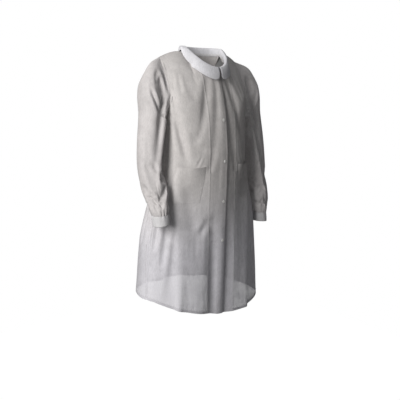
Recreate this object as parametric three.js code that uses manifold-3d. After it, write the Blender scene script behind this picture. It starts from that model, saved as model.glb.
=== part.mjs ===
// A disposable lab coat of thin nonwoven cloth, in the shape it has when it is worn.
// Millimetres, +Z up, front towards -Y, the wearer's left towards +X. The origin is the centre of
// the neck, at the height where the shoulder seams meet the collar.
import * as THREE from 'three';
import { mergeVertices } from 'three/addons/utils/BufferGeometryUtils.js';
import Module from 'manifold-3d';

const wasm = await Module();
wasm.setup();

// ---- cloth and seams
const CLOTH = 1.2;            // thickness of a cloth solid
const BAND_CLOTH = 0.9;       // thickness of the folded bands and facings
const SEAM_GAP = 0.4;         // space between two pieces that are sewn together
const SEAM_ALLOWANCE = 8;     // height of the sewn seam edge inside the coat
const SEAM_THICK = 0.8;
const SHOULDER_SEAM = { neck: 0.03, arm: 0.985 };   // shares of the panel's top edge
const SIDE_SEAM = { underarm: 0.012, hem: 0.997 };  // from below the underarm to above the hem

// ---- neck and shoulders
const NECK_HALF = 90;         // half width of the neck hole
const NECK_Y = -20;           // the neck leans forward
const THROAT = { y: -104, z: -70 };
const NAPE = { y: 60, z: 4 };
const NECK_SHARE = 0.36;      // share of each half panel's top edge that is neck
const SHOULDER = { x: 206, y: 6, z: -24 };

// ---- body: half width, front and back of each level, at rest
const BUST = { z: -160, front: -142, back: 112 };
const ARMHOLE = { x: 203, z: -165, front: -62, back: 66 };
const UNDERARM = { z: -290, half: 200, front: -158, back: 122, mid: -15 };
const WAIST = { z: -450, half: 204, front: -161, back: 128, mid: -12 };
const HIP = { z: -700, half: 272, front: -142, back: 176, mid: -14 };
const HEM = { z: -1015, half: 302, front: -134, back: 214, mid: -26 };
const HEM_FRONT_DIP = 56;     // the hem hangs lower in front
const HEM_BACK_RISE = 24;     // and higher behind
const HEM_LEFT_DIP = 36;      // and lower on the wearer's left
const BOXINESS = 2.25;        // 2 would be an ellipse
const LEVEL_KNOTS = [0, 0.13, 0.26, 0.42, 0.68, 1];
const UNDERARM_ROW = 2;
const UNDERARM_KNOT = LEVEL_KNOTS[UNDERARM_ROW];

// ---- front closing
const LAP = 15;               // the right front passes the centre by this much
const UNDER_LAP = 9;          // and the left one, behind it
const LEFT_COLLAR_START = LAP + 9;  // clear of the right front as it opens
const FOLD_X = 82;            // the front folds back along the inner edge of its facing
const FOLD_GAP = 0.5;
const FACING_X = 75;          // inner edge of the facing
const FACING_SETBACK = 1;     // from the front's edge to the facing's
const SNAP_COUNT = 5;
const SNAP_TOP_Z = -96;
const SNAP_PITCH = 169;
const SNAP_RADIUS = 6.5;
const SNAP_CAP = 1.6;         // thickness of the outside cap
const SNAP_BODY = 1.5;        // thickness of the socket and of the stud's flange
const POST_RADIUS = 1.9;
const POST_REACH = 0.9;       // how far the stud goes into its socket
const SNAP_CLEAR = 0.2;       // between a snap's rim and the cloth
const FRONT_CURVE = 60.4;     // tightest radius of the front under a snap
// a flat snap stands off a curved front by more, the wider it is
const SNAP_GAP = SNAP_CLEAR + SNAP_RADIUS ** 2 / (2 * FRONT_CURVE);
// the left front lies behind the right one and the closed snap
const LEFT_INSET = CLOTH + SEAM_GAP + BAND_CLOTH + 2 * SNAP_BODY + 3 * SNAP_GAP;
const INSET_FROM = 25;        // the inset fades out between these distances from the centre
const INSET_TO = 70;

// ---- collar
const STAND_BACK = 34;        // height of the collar stand behind and in front
const STAND_FRONT = 17;
const LEAF_SHOULDER = 0.6;    // how far out on the shoulder the leaf reaches
const LEAF_FRONT = 0.058;     // how far down the front and back panels it reaches
const LEAF_BACK = 0.05;
const LEAF_LIFT = 10;         // the leaf stands off the panels
const COLLAR_OPEN = 2;        // the right collar end stops this far from the centre
const BAND_HEIGHT = 10;

// ---- pockets
const POCKET = { inner: 0.26, outer: 0.7, top: -452, bottom: -598, bulge: 17 };

// ---- sleeves: centre, half width out from the body, half depth, and the ring's tilt
const ARMHOLE_GAP = 0.8;      // beside the armhole seam
const CAP = { rise: 27, out: 9, share: 0.45 };  // the sleeve's head stands up over the shoulder
const UPPER_RINGS = [
  { dx: 56, y: -2, z: -196, out: 90, deep: 72, tilt: 60 },
  { dx: 58, y: -11, z: -262, out: 58, deep: 65, tilt: 34 },
  { dx: 73, y: -19, z: -350, out: 50, deep: 61, tilt: 12 },
];
const ELBOW = { dx: 84, y: -32, z: -440, out: 48, deep: 57, tilt: 0 };
const FOREARM = {
  right: [
    { dx: 81, y: -58, z: -535, out: 46, deep: 52, tilt: -4 },
    { dx: 79, y: -82, z: -606, out: 40, deep: 43, tilt: -6 },
    { dx: 78, y: -89, z: -630, out: 34, deep: 35, tilt: -6 },
  ],
  left: [
    { dx: 102, y: -42, z: -560, out: 46, deep: 52, tilt: -2 },
    { dx: 108, y: -56, z: -672, out: 38, deep: 42, tilt: -4 },
    { dx: 110, y: -60, z: -700, out: 32, deep: 34, tilt: -4 },
  ],
};
const CUFF_LENGTH = 42;
const CUFF_TAPER = 0.5;

// ---- mesh density
const RING_SIDES = 18;
const SNAP_SIDES = 8;
const PANEL_ROWS = 13;
const HALF_COLUMNS = 10;       // the two fronts share their grid lines, so they nest
const LAP_COLUMNS = 2;         // grid columns past the centre line, more than the lap needs
const FRONT_COLUMNS = HALF_COLUMNS + LAP_COLUMNS;
const BACK_COLUMNS = 18;
const FAR = 500;              // beyond the coat on either side

// ---- finishes
const finish = (color, roughness) => new THREE.MeshStandardMaterial({ color, roughness, metalness: 0 });
const CLOTH_WHITE = finish('#d6d3d2', 0.86);
const FOLDED_WHITE = finish('#e2e0df', 0.84);
const SNAP_WHITE = finish('#eceae6', 0.45);

const SIDES = { right: -1, left: 1 };
const FRONT = 'front';
const BACK = 'back';
const coat = new THREE.Group();

function lerp(a, b, t) {
  return a + (b - a) * t;
}

function smooth(from, to, x) {
  const t = Math.min(Math.max((x - from) / (to - from), 0), 1);
  return t * t * (3 - 2 * t);
}

function signedPower(x, power) {
  return Math.sign(x) * Math.abs(x) ** power;
}

// A smooth curve through the keys, each reached at its knot. At the key numbered `seam` its slope
// looks only ahead, so that two panels that part above it run together below it.
function through(keys, knots, t, seam = -1) {
  let i = 0;
  while (i < knots.length - 2 && t >= knots[i + 1]) i += 1;
  const slope = (k) => {
    const a = k === seam ? k : Math.max(k - 1, 0);
    const b = Math.min(k + 1, keys.length - 1);
    return keys[b].clone().sub(keys[a]).divideScalar(knots[b] - knots[a]);
  };
  const span = knots[i + 1] - knots[i];
  const s = (t - knots[i]) / span;
  const s2 = s * s;
  const s3 = s2 * s;
  return keys[i].clone().multiplyScalar(2 * s3 - 3 * s2 + 1)
    .addScaledVector(slope(i), (s3 - 2 * s2 + s) * span)
    .addScaledVector(keys[i + 1], 3 * s2 - 2 * s3)
    .addScaledVector(slope(i + 1), (s3 - s2) * span);
}

// ---- the coat's surface: u runs from the centre line (0) to the side seam (1, or -1 on the
// wearer's right), v from the neck or shoulder (0) to the hem (1).

function topEdge(face, u) {
  const reach = Math.abs(u);
  if (reach < NECK_SHARE) {
    const angle = (u / NECK_SHARE) * Math.PI / 2;
    const middle = face === FRONT ? THROAT : NAPE;
    const c = Math.cos(angle);
    return new THREE.Vector3(
      NECK_HALF * Math.sin(angle), NECK_Y + (middle.y - NECK_Y) * c, middle.z * c ** 1.3,
    );
  }
  const t = (reach - NECK_SHARE) / (1 - NECK_SHARE);
  return new THREE.Vector3(
    Math.sign(u) * lerp(NECK_HALF, SHOULDER.x, t),
    lerp(NECK_Y, SHOULDER.y, t),
    SHOULDER.z * t ** 1.25,
  );
}

function hemHeight(u, c) {
  return HEM.z - (c > 0 ? HEM_FRONT_DIP : HEM_BACK_RISE) * c - HEM_LEFT_DIP * u;
}

function controlColumn(face, u) {
  const s = Math.sin(u * Math.PI / 2);
  const c = Math.max(Math.cos(u * Math.PI / 2), 0);
  const round = 2 / BOXINESS;
  const edge = ARMHOLE[face];
  const bust = new THREE.Vector3(
    ARMHOLE.x * signedPower(s, 0.95),
    edge + (BUST[face] - edge) * c ** 0.95,
    lerp(BUST.z, ARMHOLE.z, Math.abs(s)),
  );
  const rows = [topEdge(face, u), bust];
  for (const level of [UNDERARM, WAIST, HIP, HEM]) {
    const forward = face === FRONT ? c : -c;
    rows.push(new THREE.Vector3(
      level.half * signedPower(s, round),
      level.mid + (level[face] - level.mid) * c ** round,
      level === HEM ? hemHeight(u, forward) : level.z,
    ));
  }
  return rows;
}

function coatPoint(face, u, v) {
  return through(controlColumn(face, u), LEVEL_KNOTS, v, UNDERARM_ROW);
}

function coatNormal(face, u, v) {
  const step = 0.004;
  const along = coatPoint(face, Math.min(u + step, 1), v).sub(coatPoint(face, Math.max(u - step, -1), v));
  const down = coatPoint(face, u, Math.min(v + step, 1)).sub(coatPoint(face, u, Math.max(v - step, 0)));
  const normal = along.cross(down).normalize();
  return face === FRONT ? normal.negate() : normal;
}

function solve(low, high, isPast) {
  let a = low;
  let b = high;
  for (let i = 0; i < 40; i += 1) {
    const middle = (a + b) / 2;
    if (isPast(middle)) b = middle;
    else a = middle;
  }
  return (a + b) / 2;
}

const vAtZ = (face, u, z) => solve(0.02, 1, (v) => coatPoint(face, u, v).z < z);

// ---- solids

// A closed thin body from a grid of points. Its outer face lies inset(point) behind them, and its
// inner face lies `thick` behind that. ring joins the last column to the first one.
function shell(columns, rows, place, thick, options = {}) {
  const { ring = false, flip = false, normalAt = null, inset = () => 0 } = options;
  const width = ring ? columns : columns + 1;
  const points = [];
  for (let i = 0; i < width; i += 1) {
    points.push([]);
    for (let j = 0; j <= rows; j += 1) points[i].push(place(i / columns, j / rows));
  }
  const at = (i, j) => points[ring ? (i + width) % width : i][j];
  const positions = [];
  const inner = [];
  for (let i = 0; i < width; i += 1) {
    for (let j = 0; j <= rows; j += 1) {
      const a = ring ? i - 1 : Math.max(i - 1, 0);
      const b = ring ? i + 1 : Math.min(i + 1, columns);
      const along = at(b, j).clone().sub(at(a, j));
      const down = at(i, Math.min(j + 1, rows)).clone().sub(at(i, Math.max(j - 1, 0)));
      let normal = down.cross(along).normalize();
      if (flip) normal.negate();
      normal = (normalAt && normalAt(i / columns, j / rows)) || normal;
      const behind = inset(points[i][j]);
      positions.push(...points[i][j].clone().addScaledVector(normal, -behind).toArray());
      inner.push(...points[i][j].clone().addScaledVector(normal, -behind - thick).toArray());
    }
  }
  const count = positions.length / 3;
  const id = (i, j) => (ring ? (i + width) % width : i) * (rows + 1) + j;
  const faces = [];
  const quad = (a, b, c, d) => {
    const order = flip ? [a, c, b, a, d, c] : [a, b, c, a, c, d];
    faces.push(...order);
  };
  for (let i = 0; i < columns; i += 1) {
    for (let j = 0; j < rows; j += 1) {
      quad(id(i, j), id(i, j + 1), id(i + 1, j + 1), id(i + 1, j));
      quad(count + id(i, j), count + id(i + 1, j), count + id(i + 1, j + 1), count + id(i, j + 1));
    }
    quad(id(i, 0), id(i + 1, 0), count + id(i + 1, 0), count + id(i, 0));
    quad(id(i + 1, rows), id(i, rows), count + id(i, rows), count + id(i + 1, rows));
  }
  if (!ring) {
    for (let j = 0; j < rows; j += 1) {
      quad(id(0, j + 1), id(0, j), count + id(0, j), count + id(0, j + 1));
      quad(id(columns, j), id(columns, j + 1), count + id(columns, j + 1), count + id(columns, j));
    }
  }
  const geometry = new THREE.BufferGeometry();
  geometry.setAttribute('position', new THREE.Float32BufferAttribute([...positions, ...inner], 3));
  geometry.setIndex(faces);
  return geometry;
}

function toManifold(geometry) {
  const clean = geometry.clone();
  clean.deleteAttribute('normal');
  clean.deleteAttribute('uv');
  const merged = mergeVertices(clean, 1e-4);
  return new wasm.Manifold(new wasm.Mesh({
    numProp: 3,
    vertProperties: new Float32Array(merged.attributes.position.array),
    triVerts: new Uint32Array(merged.index.array),
  }));
}

function fromManifold(solid) {
  const mesh = solid.getMesh();
  const geometry = new THREE.BufferGeometry();
  geometry.setAttribute('position', new THREE.Float32BufferAttribute(mesh.vertProperties, 3));
  geometry.setIndex([...mesh.triVerts]);
  return geometry;
}

// Keeps what lies between two x values.
function between(geometry, low, high) {
  const solid = toManifold(geometry).trimByPlane([1, 0, 0], low).trimByPlane([-1, 0, 0], -high);
  return fromManifold(solid);
}

function add(name, geometry, material) {
  const mesh = new THREE.Mesh(geometry, material);
  mesh.name = name;
  coat.add(mesh);
  return mesh;
}

// ---- panels

const EDGE = 0.0012;          // pulls a panel's edge back from its seam line
const SIDE_U = 1 - EDGE;
const FRONT_LAP_U = SIDE_U * LAP_COLUMNS / HALF_COLUMNS;
const UP = new THREE.Vector3(0, 0, 1);
const MITRE = 1.3;            // the shoulder edges of the front and the back meet in a mitre

const leftInset = (point) => LEFT_INSET * (1 - smooth(INSET_FROM, INSET_TO, point.x));
const facingInset = CLOTH + SEAM_GAP;
const rowV = (t) => lerp(EDGE, 1, t);

function panel(face, fromU, toU, columns, inset = () => 0, thick = CLOTH) {
  const uAt = (s) => lerp(fromU, toU, s);
  return shell(columns, PANEL_ROWS, (s, t) => coatPoint(face, uAt(s), rowV(t)), thick, {
    flip: face === BACK,
    inset,
    normalAt: (s, t) => {
      const u = uAt(s);
      if (t === 0 && Math.abs(u) > NECK_SHARE) return UP.clone().multiplyScalar(MITRE);
      if (Math.abs(u) === SIDE_U && rowV(t) > UNDERARM_KNOT) return new THREE.Vector3(Math.sign(u), 0, 0);
      return null;
    },
  });
}

const rightPanel = (inset, thick) => panel(FRONT, -SIDE_U, FRONT_LAP_U, FRONT_COLUMNS, inset, thick);
const leftPanel = (inset, thick) => panel(FRONT, -FRONT_LAP_U, SIDE_U, FRONT_COLUMNS, inset, thick);

function addPanels() {
  add('back_panel', panel(BACK, -SIDE_U, SIDE_U, BACK_COLUMNS), CLOTH_WHITE);
  const right = rightPanel();
  add('right_side_front', between(right, -FAR, -FOLD_X - FOLD_GAP / 2), CLOTH_WHITE);
  add('right_front_edge', between(right, -FOLD_X + FOLD_GAP / 2, LAP), CLOTH_WHITE);
  const left = leftPanel(leftInset);
  add('left_side_front', between(left, FOLD_X + FOLD_GAP / 2, FAR), CLOTH_WHITE);
  add('left_front_edge', between(left, -UNDER_LAP, FOLD_X - FOLD_GAP / 2), CLOTH_WHITE);
}

function addFacings() {
  const right = rightPanel(() => facingInset, BAND_CLOTH);
  add('right_facing', between(right, -FACING_X, LAP - FACING_SETBACK), FOLDED_WHITE);
  const left = leftPanel((point) => leftInset(point) + facingInset, BAND_CLOTH);
  add('left_facing', between(left, FACING_SETBACK - UNDER_LAP, FACING_X), FOLDED_WHITE);
}

// The point of the fronts' grid at a height on the centre line, and the normal there.
function closingPoint(z) {
  const at = (row) => coatPoint(FRONT, 0, rowV(row / PANEL_ROWS));
  let row = 0;
  while (at(row + 1).z > z) row += 1;
  const high = at(row);
  const down = at(row + 1).sub(high);
  const point = high.clone().addScaledVector(down, (z - high.z) / down.z);
  return { point, normal: new THREE.Vector3(1, 0, 0).cross(down).normalize().negate() };
}

// ---- armholes and sleeves

// A point on the armhole edge: 0 is the shoulder, then the front, the underarm and the back.
function armholePoint(side, turn, outward) {
  const angle = turn * 2 * Math.PI;
  const face = turn <= 0.5 ? FRONT : BACK;
  const point = coatPoint(face, side, UNDERARM_KNOT * (1 - Math.cos(angle)) / 2);
  point.x += side * outward;
  return point;
}

function ringPoint(side, ring, turn) {
  const angle = turn * 2 * Math.PI;
  const tilt = THREE.MathUtils.degToRad(ring.tilt);
  const out = ring.out * Math.cos(angle);
  return new THREE.Vector3(
    side * (ARMHOLE.x + ring.dx + out * Math.cos(tilt)),
    ring.y - ring.deep * Math.sin(angle),
    ring.z + out * Math.sin(tilt),
  );
}

// A tube of cloth through rings: each item gives its point for a turn.
function tube(side, rings, rows, thick, start = 0, end = 1) {
  const knots = rings.map((_, k) => k / (rings.length - 1));
  return shell(RING_SIDES, rows, (s, t) => {
    const keys = rings.map((ring) => ring(s));
    return through(keys, knots, lerp(start, end, t));
  }, thick, { ring: true, flip: side < 0 });
}

function addSleeve(name, side) {
  const armhole = (turn) => armholePoint(side, turn, 2 * ARMHOLE_GAP + SEAM_THICK);
  const upper = UPPER_RINGS.map((ring) => (turn) => ringPoint(side, ring, turn));
  const cap = (turn) => {
    const top = Math.max(Math.cos(turn * 2 * Math.PI), 0) ** 1.5;
    const rise = new THREE.Vector3(side * CAP.out, 0, CAP.rise).multiplyScalar(top);
    return armhole(turn).lerp(upper[0](turn), CAP.share).add(rise);
  };
  const elbow = (turn) => ringPoint(side, ELBOW, turn);
  const split = SEAM_GAP / 500;
  add(`${name}_upper_sleeve`, tube(side, [armhole, cap, ...upper, elbow], 8, CLOTH, 0, 1 - split), CLOTH_WHITE);

  const lower = FOREARM[name];
  const last = lower[lower.length - 1];
  const forearm = [elbow, ...lower.map((ring) => (turn) => ringPoint(side, ring, turn))];
  add(`${name}_lower_sleeve`, tube(side, forearm, 4, CLOTH, split, 1), CLOTH_WHITE);

  const before = lower[lower.length - 2];
  const drop = last.z - before.z;
  const follow = (distance) => (turn) => ringPoint(side, {
    dx: last.dx + (last.dx - before.dx) * distance / drop * -CUFF_TAPER,
    y: last.y + (last.y - before.y) * distance / drop * -CUFF_TAPER,
    z: last.z - distance,
    out: last.out,
    deep: last.deep,
    tilt: last.tilt,
  }, turn);
  const start = 2 * SEAM_GAP;
  const cuff = [follow(start), follow(start + CUFF_LENGTH / 2), follow(start + CUFF_LENGTH)];
  add(`${name}_cuff`, tube(side, cuff, 2, BAND_CLOTH), FOLDED_WHITE);
}

// ---- sewn seam edges inside the coat

function addShoulderSeam(name, side) {
  const drop = CLOTH * MITRE + SEAM_GAP;
  const seam = shell(8, 1, (s, t) => {
    const point = coatPoint(FRONT, side * lerp(NECK_SHARE + SHOULDER_SEAM.neck, SHOULDER_SEAM.arm, s), 0);
    point.y -= SEAM_THICK / 2;
    point.z -= drop + t * SEAM_ALLOWANCE;
    return point;
  }, SEAM_THICK, { normalAt: () => new THREE.Vector3(0, -1, 0), flip: side < 0 });
  add(`${name}_shoulder_seam`, seam, FOLDED_WHITE);
}

// A point on the straight facets between the panel's rows.
function rowPoint(face, u, v) {
  const place = (v - EDGE) / (1 - EDGE) * PANEL_ROWS;
  const row = Math.min(Math.floor(place), PANEL_ROWS - 1);
  const high = coatPoint(face, u, rowV(row / PANEL_ROWS));
  return high.lerp(coatPoint(face, u, rowV((row + 1) / PANEL_ROWS)), place - row);
}

// The seam bends at the same rows as the panels that it joins.
function addSideSeam(name, side) {
  const rows = [UNDERARM_KNOT + SIDE_SEAM.underarm];
  for (let j = 1; j < PANEL_ROWS; j += 1) if (rowV(j / PANEL_ROWS) > rows[0]) rows.push(rowV(j / PANEL_ROWS));
  rows.push(SIDE_SEAM.hem);
  const last = rows.length - 1;
  const seam = shell(1, last, (s, t) => {
    const point = rowPoint(FRONT, side, rows[Math.round(t * last)]);
    point.x -= side * (CLOTH + SEAM_GAP + s * SEAM_ALLOWANCE);
    point.y -= SEAM_THICK / 2;
    return point;
  }, SEAM_THICK, { normalAt: () => new THREE.Vector3(0, -1, 0), flip: side > 0 });
  add(`${name}_side_seam`, seam, FOLDED_WHITE);
}

function addArmholeSeam(name, side) {
  const middle = new THREE.Vector3(side * ARMHOLE.x, 0, ARMHOLE.z);
  const seam = shell(RING_SIDES, 1, (s, t) => {
    const point = armholePoint(side, s, ARMHOLE_GAP + SEAM_THICK);
    const inwards = middle.clone().sub(point).setX(0).normalize();
    return point.addScaledVector(inwards, t * SEAM_ALLOWANCE);
  }, SEAM_THICK, { ring: true, flip: side > 0, normalAt: () => new THREE.Vector3(side, 0, 0) });
  add(`${name}_armhole_seam`, seam, FOLDED_WHITE);
}

// ---- collar: w runs round the neck, 0 at the throat, 1 at the shoulder seam, 2 at the nape

function neckPoint(side, w) {
  const face = w <= 1 ? FRONT : BACK;
  const share = w <= 1 ? w : 2 - w;
  return topEdge(face, side * share * NECK_SHARE * 0.99999);
}

function leafPoint(side, w, lift) {
  const face = w <= 1 ? FRONT : BACK;
  const share = (w <= 1 ? w : 2 - w) * Math.PI / 2;
  const u = side * LEAF_SHOULDER * Math.sin(share) ** 1.2;
  const v = (face === FRONT ? LEAF_FRONT : LEAF_BACK) * Math.max(Math.cos(share), 0) ** 0.8;
  const away = v < 0.01 ? UP : coatNormal(face, u, v);
  return coatPoint(face, u, v).addScaledVector(away, lift);
}

function collarPoint(side, w, t) {
  const neck = neckPoint(side, w);
  const centre = new THREE.Vector3(0, NECK_Y, neck.z);
  const out = neck.clone().sub(centre).normalize();
  const rise = lerp(STAND_FRONT, STAND_BACK, smooth(0, 1.4, w));
  const foot = neck.clone().addScaledVector(UP, SEAM_GAP);
  const roll = neck.clone().addScaledVector(UP, rise).addScaledVector(out, 4);
  const over = roll.clone().addScaledVector(out, 9).addScaledVector(UP, -1);
  const leaf = leafPoint(side, w, LEAF_LIFT);
  const half = over.clone().lerp(leaf, 0.5).addScaledVector(out, 3).addScaledVector(UP, 4);
  return through([foot, roll, over, half, leaf], [0, 0.3, 0.42, 0.7, 1], t);
}

const COLLAR_SPAN = 2 - 0.012;  // from the nape round to just short of the throat

// The whole collar, or a band of the neck, from one throat edge round the nape to the other.
function aroundNeck(rows, thick, place) {
  return shell(34, rows, (s, t) => {
    const turn = lerp(-COLLAR_SPAN, COLLAR_SPAN, s);
    const side = turn < 0 ? -1 : 1;
    return place(side, 2 - Math.abs(turn), t);
  }, thick, { flip: true });
}

function addAroundNeck(name, geometry) {
  const outer = FOLD_X + FOLD_GAP / 2;
  const inner = FOLD_X - FOLD_GAP / 2;
  const round = toManifold(geometry);
  const front = toManifold(new THREE.BoxGeometry(2 * outer, 400, 600).translate(0, NECK_Y - 200, 0));
  add(`${name}_back`, fromManifold(round.subtract(front)), FOLDED_WHITE);
  const half = round.trimByPlane([0, -1, 0], -NECK_Y);
  const right = half.trimByPlane([1, 0, 0], -inner).trimByPlane([-1, 0, 0], COLLAR_OPEN);
  add(`${name}_right_end`, fromManifold(right), FOLDED_WHITE);
  const left = half.trimByPlane([1, 0, 0], LEFT_COLLAR_START).trimByPlane([-1, 0, 0], -inner);
  add(`${name}_left_end`, fromManifold(left), FOLDED_WHITE);
}

function bandPoint(side, w, t) {
  const neck = neckPoint(side, w);
  const out = neck.clone().setZ(0).sub(new THREE.Vector3(0, NECK_Y, 0)).normalize();
  const inset = BAND_CLOTH + 2 * SEAM_GAP;
  return neck.addScaledVector(out, -inset).addScaledVector(UP, 3 * SEAM_GAP + (1 - t) * BAND_HEIGHT);
}

function addCollar() {
  addAroundNeck('collar', aroundNeck(6, BAND_CLOTH, collarPoint));
  addAroundNeck('neck_band', aroundNeck(1, BAND_CLOTH, bandPoint));
}

// ---- pockets: flat at the sides and bottom, standing open at the mouth

function addPocket(name, side) {
  const pocket = shell(8, 4, (s, t) => {
    const u = side * lerp(POCKET.inner, POCKET.outer, s);
    const v = vAtZ(FRONT, u, lerp(POCKET.top, POCKET.bottom, t));
    const bulge = POCKET.bulge * Math.sin(Math.PI * s) ** 0.8 * (1 - t) ** 1.1;
    const lift = SEAM_GAP + CLOTH + bulge;
    return rowPoint(FRONT, u, v).addScaledVector(coatNormal(FRONT, u, v), lift);
  }, CLOTH, { flip: side < 0 });
  add(`${name}_pocket`, pocket, CLOTH_WHITE);
}

// ---- snaps: each piece is turned round the snap's axis, which points out of the coat

function snapPiece(profile) {
  const points = profile.map(([r, h]) => new THREE.Vector2(r, h));
  return new THREE.LatheGeometry(points, SNAP_SIDES);
}

const SNAP_PIECES = [
  {
    name: 'right_snap_cap', lift: SNAP_GAP,
    profile: [[0, 0], [SNAP_RADIUS, 0], [SNAP_RADIUS, SNAP_CAP * 0.4], [SNAP_RADIUS * 0.7, SNAP_CAP],
      [0, SNAP_CAP]],
  },
  {
    name: 'right_snap_socket', lift: -facingInset - BAND_CLOTH - SNAP_GAP - SNAP_BODY,
    profile: [[0, SNAP_BODY * 0.75], [POST_RADIUS + 0.8, SNAP_BODY * 0.75],
      [POST_RADIUS + 0.8, 0], [SNAP_RADIUS - 0.5, 0], [SNAP_RADIUS - 0.5, SNAP_BODY], [0, SNAP_BODY]],
  },
  {
    name: 'left_snap_stud', lift: -LEFT_INSET + SNAP_GAP,
    profile: [[0, 0], [SNAP_RADIUS - 0.5, 0], [SNAP_RADIUS - 0.5, SNAP_BODY * 0.8],
      [POST_RADIUS, SNAP_BODY * 0.8], [POST_RADIUS, SNAP_BODY + POST_REACH], [0, SNAP_BODY + POST_REACH]],
  },
  {
    name: 'left_snap_back',
    lift: -LEFT_INSET - facingInset - BAND_CLOTH - SNAP_GAP - SNAP_CAP,
    profile: [[0, 0], [SNAP_RADIUS * 0.7, 0], [SNAP_RADIUS, SNAP_CAP * 0.6], [SNAP_RADIUS, SNAP_CAP],
      [0, SNAP_CAP]],
  },
];

function addSnaps() {
  for (let k = 0; k < SNAP_COUNT; k += 1) {
    const { point, normal } = closingPoint(SNAP_TOP_Z - k * SNAP_PITCH);
    for (const piece of SNAP_PIECES) {
      const mesh = add(`${piece.name}_${k + 1}`, snapPiece(piece.profile), SNAP_WHITE);
      mesh.quaternion.setFromUnitVectors(new THREE.Vector3(0, 1, 0), normal);
      mesh.position.copy(point).addScaledVector(normal, piece.lift);
    }
  }
}

addPanels();
addFacings();
for (const [name, side] of Object.entries(SIDES)) {
  addPocket(name, side);
  addShoulderSeam(name, side);
  addSideSeam(name, side);
  addArmholeSeam(name, side);
  addSleeve(name, side);
}
addCollar();
addSnaps();

export default coat;
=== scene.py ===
# %% [markdown]
# # A disposable lab coat
# The coat is sewn from thin bonded nonwoven cloth: long plastic fibres laid at random and welded
# together at a grid of small points. It is white, but so thin that light and whatever lies behind
# show through. This file dresses the coat's plain solids with real cloth, one cell per piece.
# Everything is in metres, +Z up, front towards -Y, the wearer's left towards +X.

# %% The frame
import math

import bmesh
import bpy
import numpy as np
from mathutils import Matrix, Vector


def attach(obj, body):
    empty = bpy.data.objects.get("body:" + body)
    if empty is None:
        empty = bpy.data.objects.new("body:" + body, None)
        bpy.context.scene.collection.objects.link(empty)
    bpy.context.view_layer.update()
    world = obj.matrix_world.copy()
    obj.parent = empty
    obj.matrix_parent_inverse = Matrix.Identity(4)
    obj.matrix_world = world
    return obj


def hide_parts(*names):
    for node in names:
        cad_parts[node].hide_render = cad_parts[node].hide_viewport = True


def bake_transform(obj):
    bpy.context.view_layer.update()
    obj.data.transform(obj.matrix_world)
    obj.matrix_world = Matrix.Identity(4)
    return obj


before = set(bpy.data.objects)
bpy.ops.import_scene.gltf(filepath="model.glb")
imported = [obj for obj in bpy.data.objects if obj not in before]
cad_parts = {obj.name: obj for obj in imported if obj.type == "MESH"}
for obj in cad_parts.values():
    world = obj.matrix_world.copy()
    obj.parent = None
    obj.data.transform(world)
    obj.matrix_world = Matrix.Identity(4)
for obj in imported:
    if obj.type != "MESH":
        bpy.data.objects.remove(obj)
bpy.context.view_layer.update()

# %% [markdown]
# ## The coat's form
# A sewn coat takes the shape of what carries it. Its form is a smooth surface through five levels,
# each given by a half width, a front and a back. u runs from the centre line to the side seam and
# v from the neck to the hem. The same rule makes every panel, so seams meet by themselves.

# %% Levels of the body
MM = 0.001
NECK_HALF, NECK_Y, NECK_SHARE = 90, -20, 0.36
THROAT, NAPE, SHOULDER = (-104, -70), (60, 4), (206, 6, -15)
BUST = {"z": -160, "front": -142, "back": 112}
ARMHOLE = {"x": 203, "z": -165, "front": -62, "back": 66}
LEVELS = (
    {"z": -290, "half": 200, "front": -164, "back": 122, "mid": -15},
    {"z": -450, "half": 206, "front": -169, "back": 128, "mid": -12},
    {"z": -665, "half": 282, "front": -150, "back": 182, "mid": -14},
    {"z": -1015, "half": 316, "front": -138, "back": 222, "mid": -26},
)
HEM_FRONT_DIP, HEM_BACK_RISE, HEM_LEFT_DIP = 56, 24, 36
# The hem's own unevenness: how much higher it hangs at each u in front, and at the two sides.
HEM_U = (-1, -0.85, -0.7, -0.5, -0.35, -0.2, -0.1, 0, 0.15, 0.3, 0.5, 0.75, 1)
HEM_TRIM = {
    "front": (-10, 4, 7, 7, 4, -7, -16, -27, -30, -33, -36, -30, -30),
    "back": (-10, -12, -16, -22, -27, -30, -32, -34, -35, -35, -34, -31, -30),
}
SHOULDER_PAD = 14
# How much further out the left sleeve stands at each height, partly by being wider.
WIDER_SHARE = 0.45
LEFT_SLEEVE_OUT = {"z": (-700, -540, -380, -200), "out": (2, 22, 36, 34)}
BOXINESS = 2.25
KNOTS = np.array([0, 0.13, 0.26, 0.42, 0.68, 1])
UNDERARM_ROW = 2
UNDERARM_KNOT = KNOTS[UNDERARM_ROW]


def signed_power(x, power):
    return np.sign(x) * np.abs(x) ** power


def smooth(low, high, x):
    t = np.clip((x - low) / (high - low), 0, 1)
    return t * t * (3 - 2 * t)


def smooth_between(x, places, values):
    """Values between places, as a curve without corners."""
    near = np.linspace(-0.06, 0.06, 9)
    return np.mean([np.interp(np.asarray(x) + shift * (1 - np.abs(x)), places, values) for shift in near],
                   axis=0)


def through(keys, knots, t, seam=-1):
    """A smooth curve through keys (k, ..., 3) at knots, for each t. At the key numbered seam the
    slope looks only ahead."""
    t = np.atleast_1d(t)
    last = len(knots) - 1
    slopes = []
    for k in range(last + 1):
        a = k if k == seam else max(k - 1, 0)
        b = min(k + 1, last)
        slopes.append((keys[b] - keys[a]) / (knots[b] - knots[a]))
    out = []
    for value in t:
        i = int(np.clip(np.searchsorted(knots, value, side="right") - 1, 0, last - 1))
        span = knots[i + 1] - knots[i]
        s = (value - knots[i]) / span
        out.append(
            (2 * s**3 - 3 * s**2 + 1) * keys[i]
            + (s**3 - 2 * s**2 + s) * span * slopes[i]
            + (3 * s**2 - 2 * s**3) * keys[i + 1]
            + (s**3 - s**2) * span * slopes[i + 1]
        )
    return np.array(out)


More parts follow.
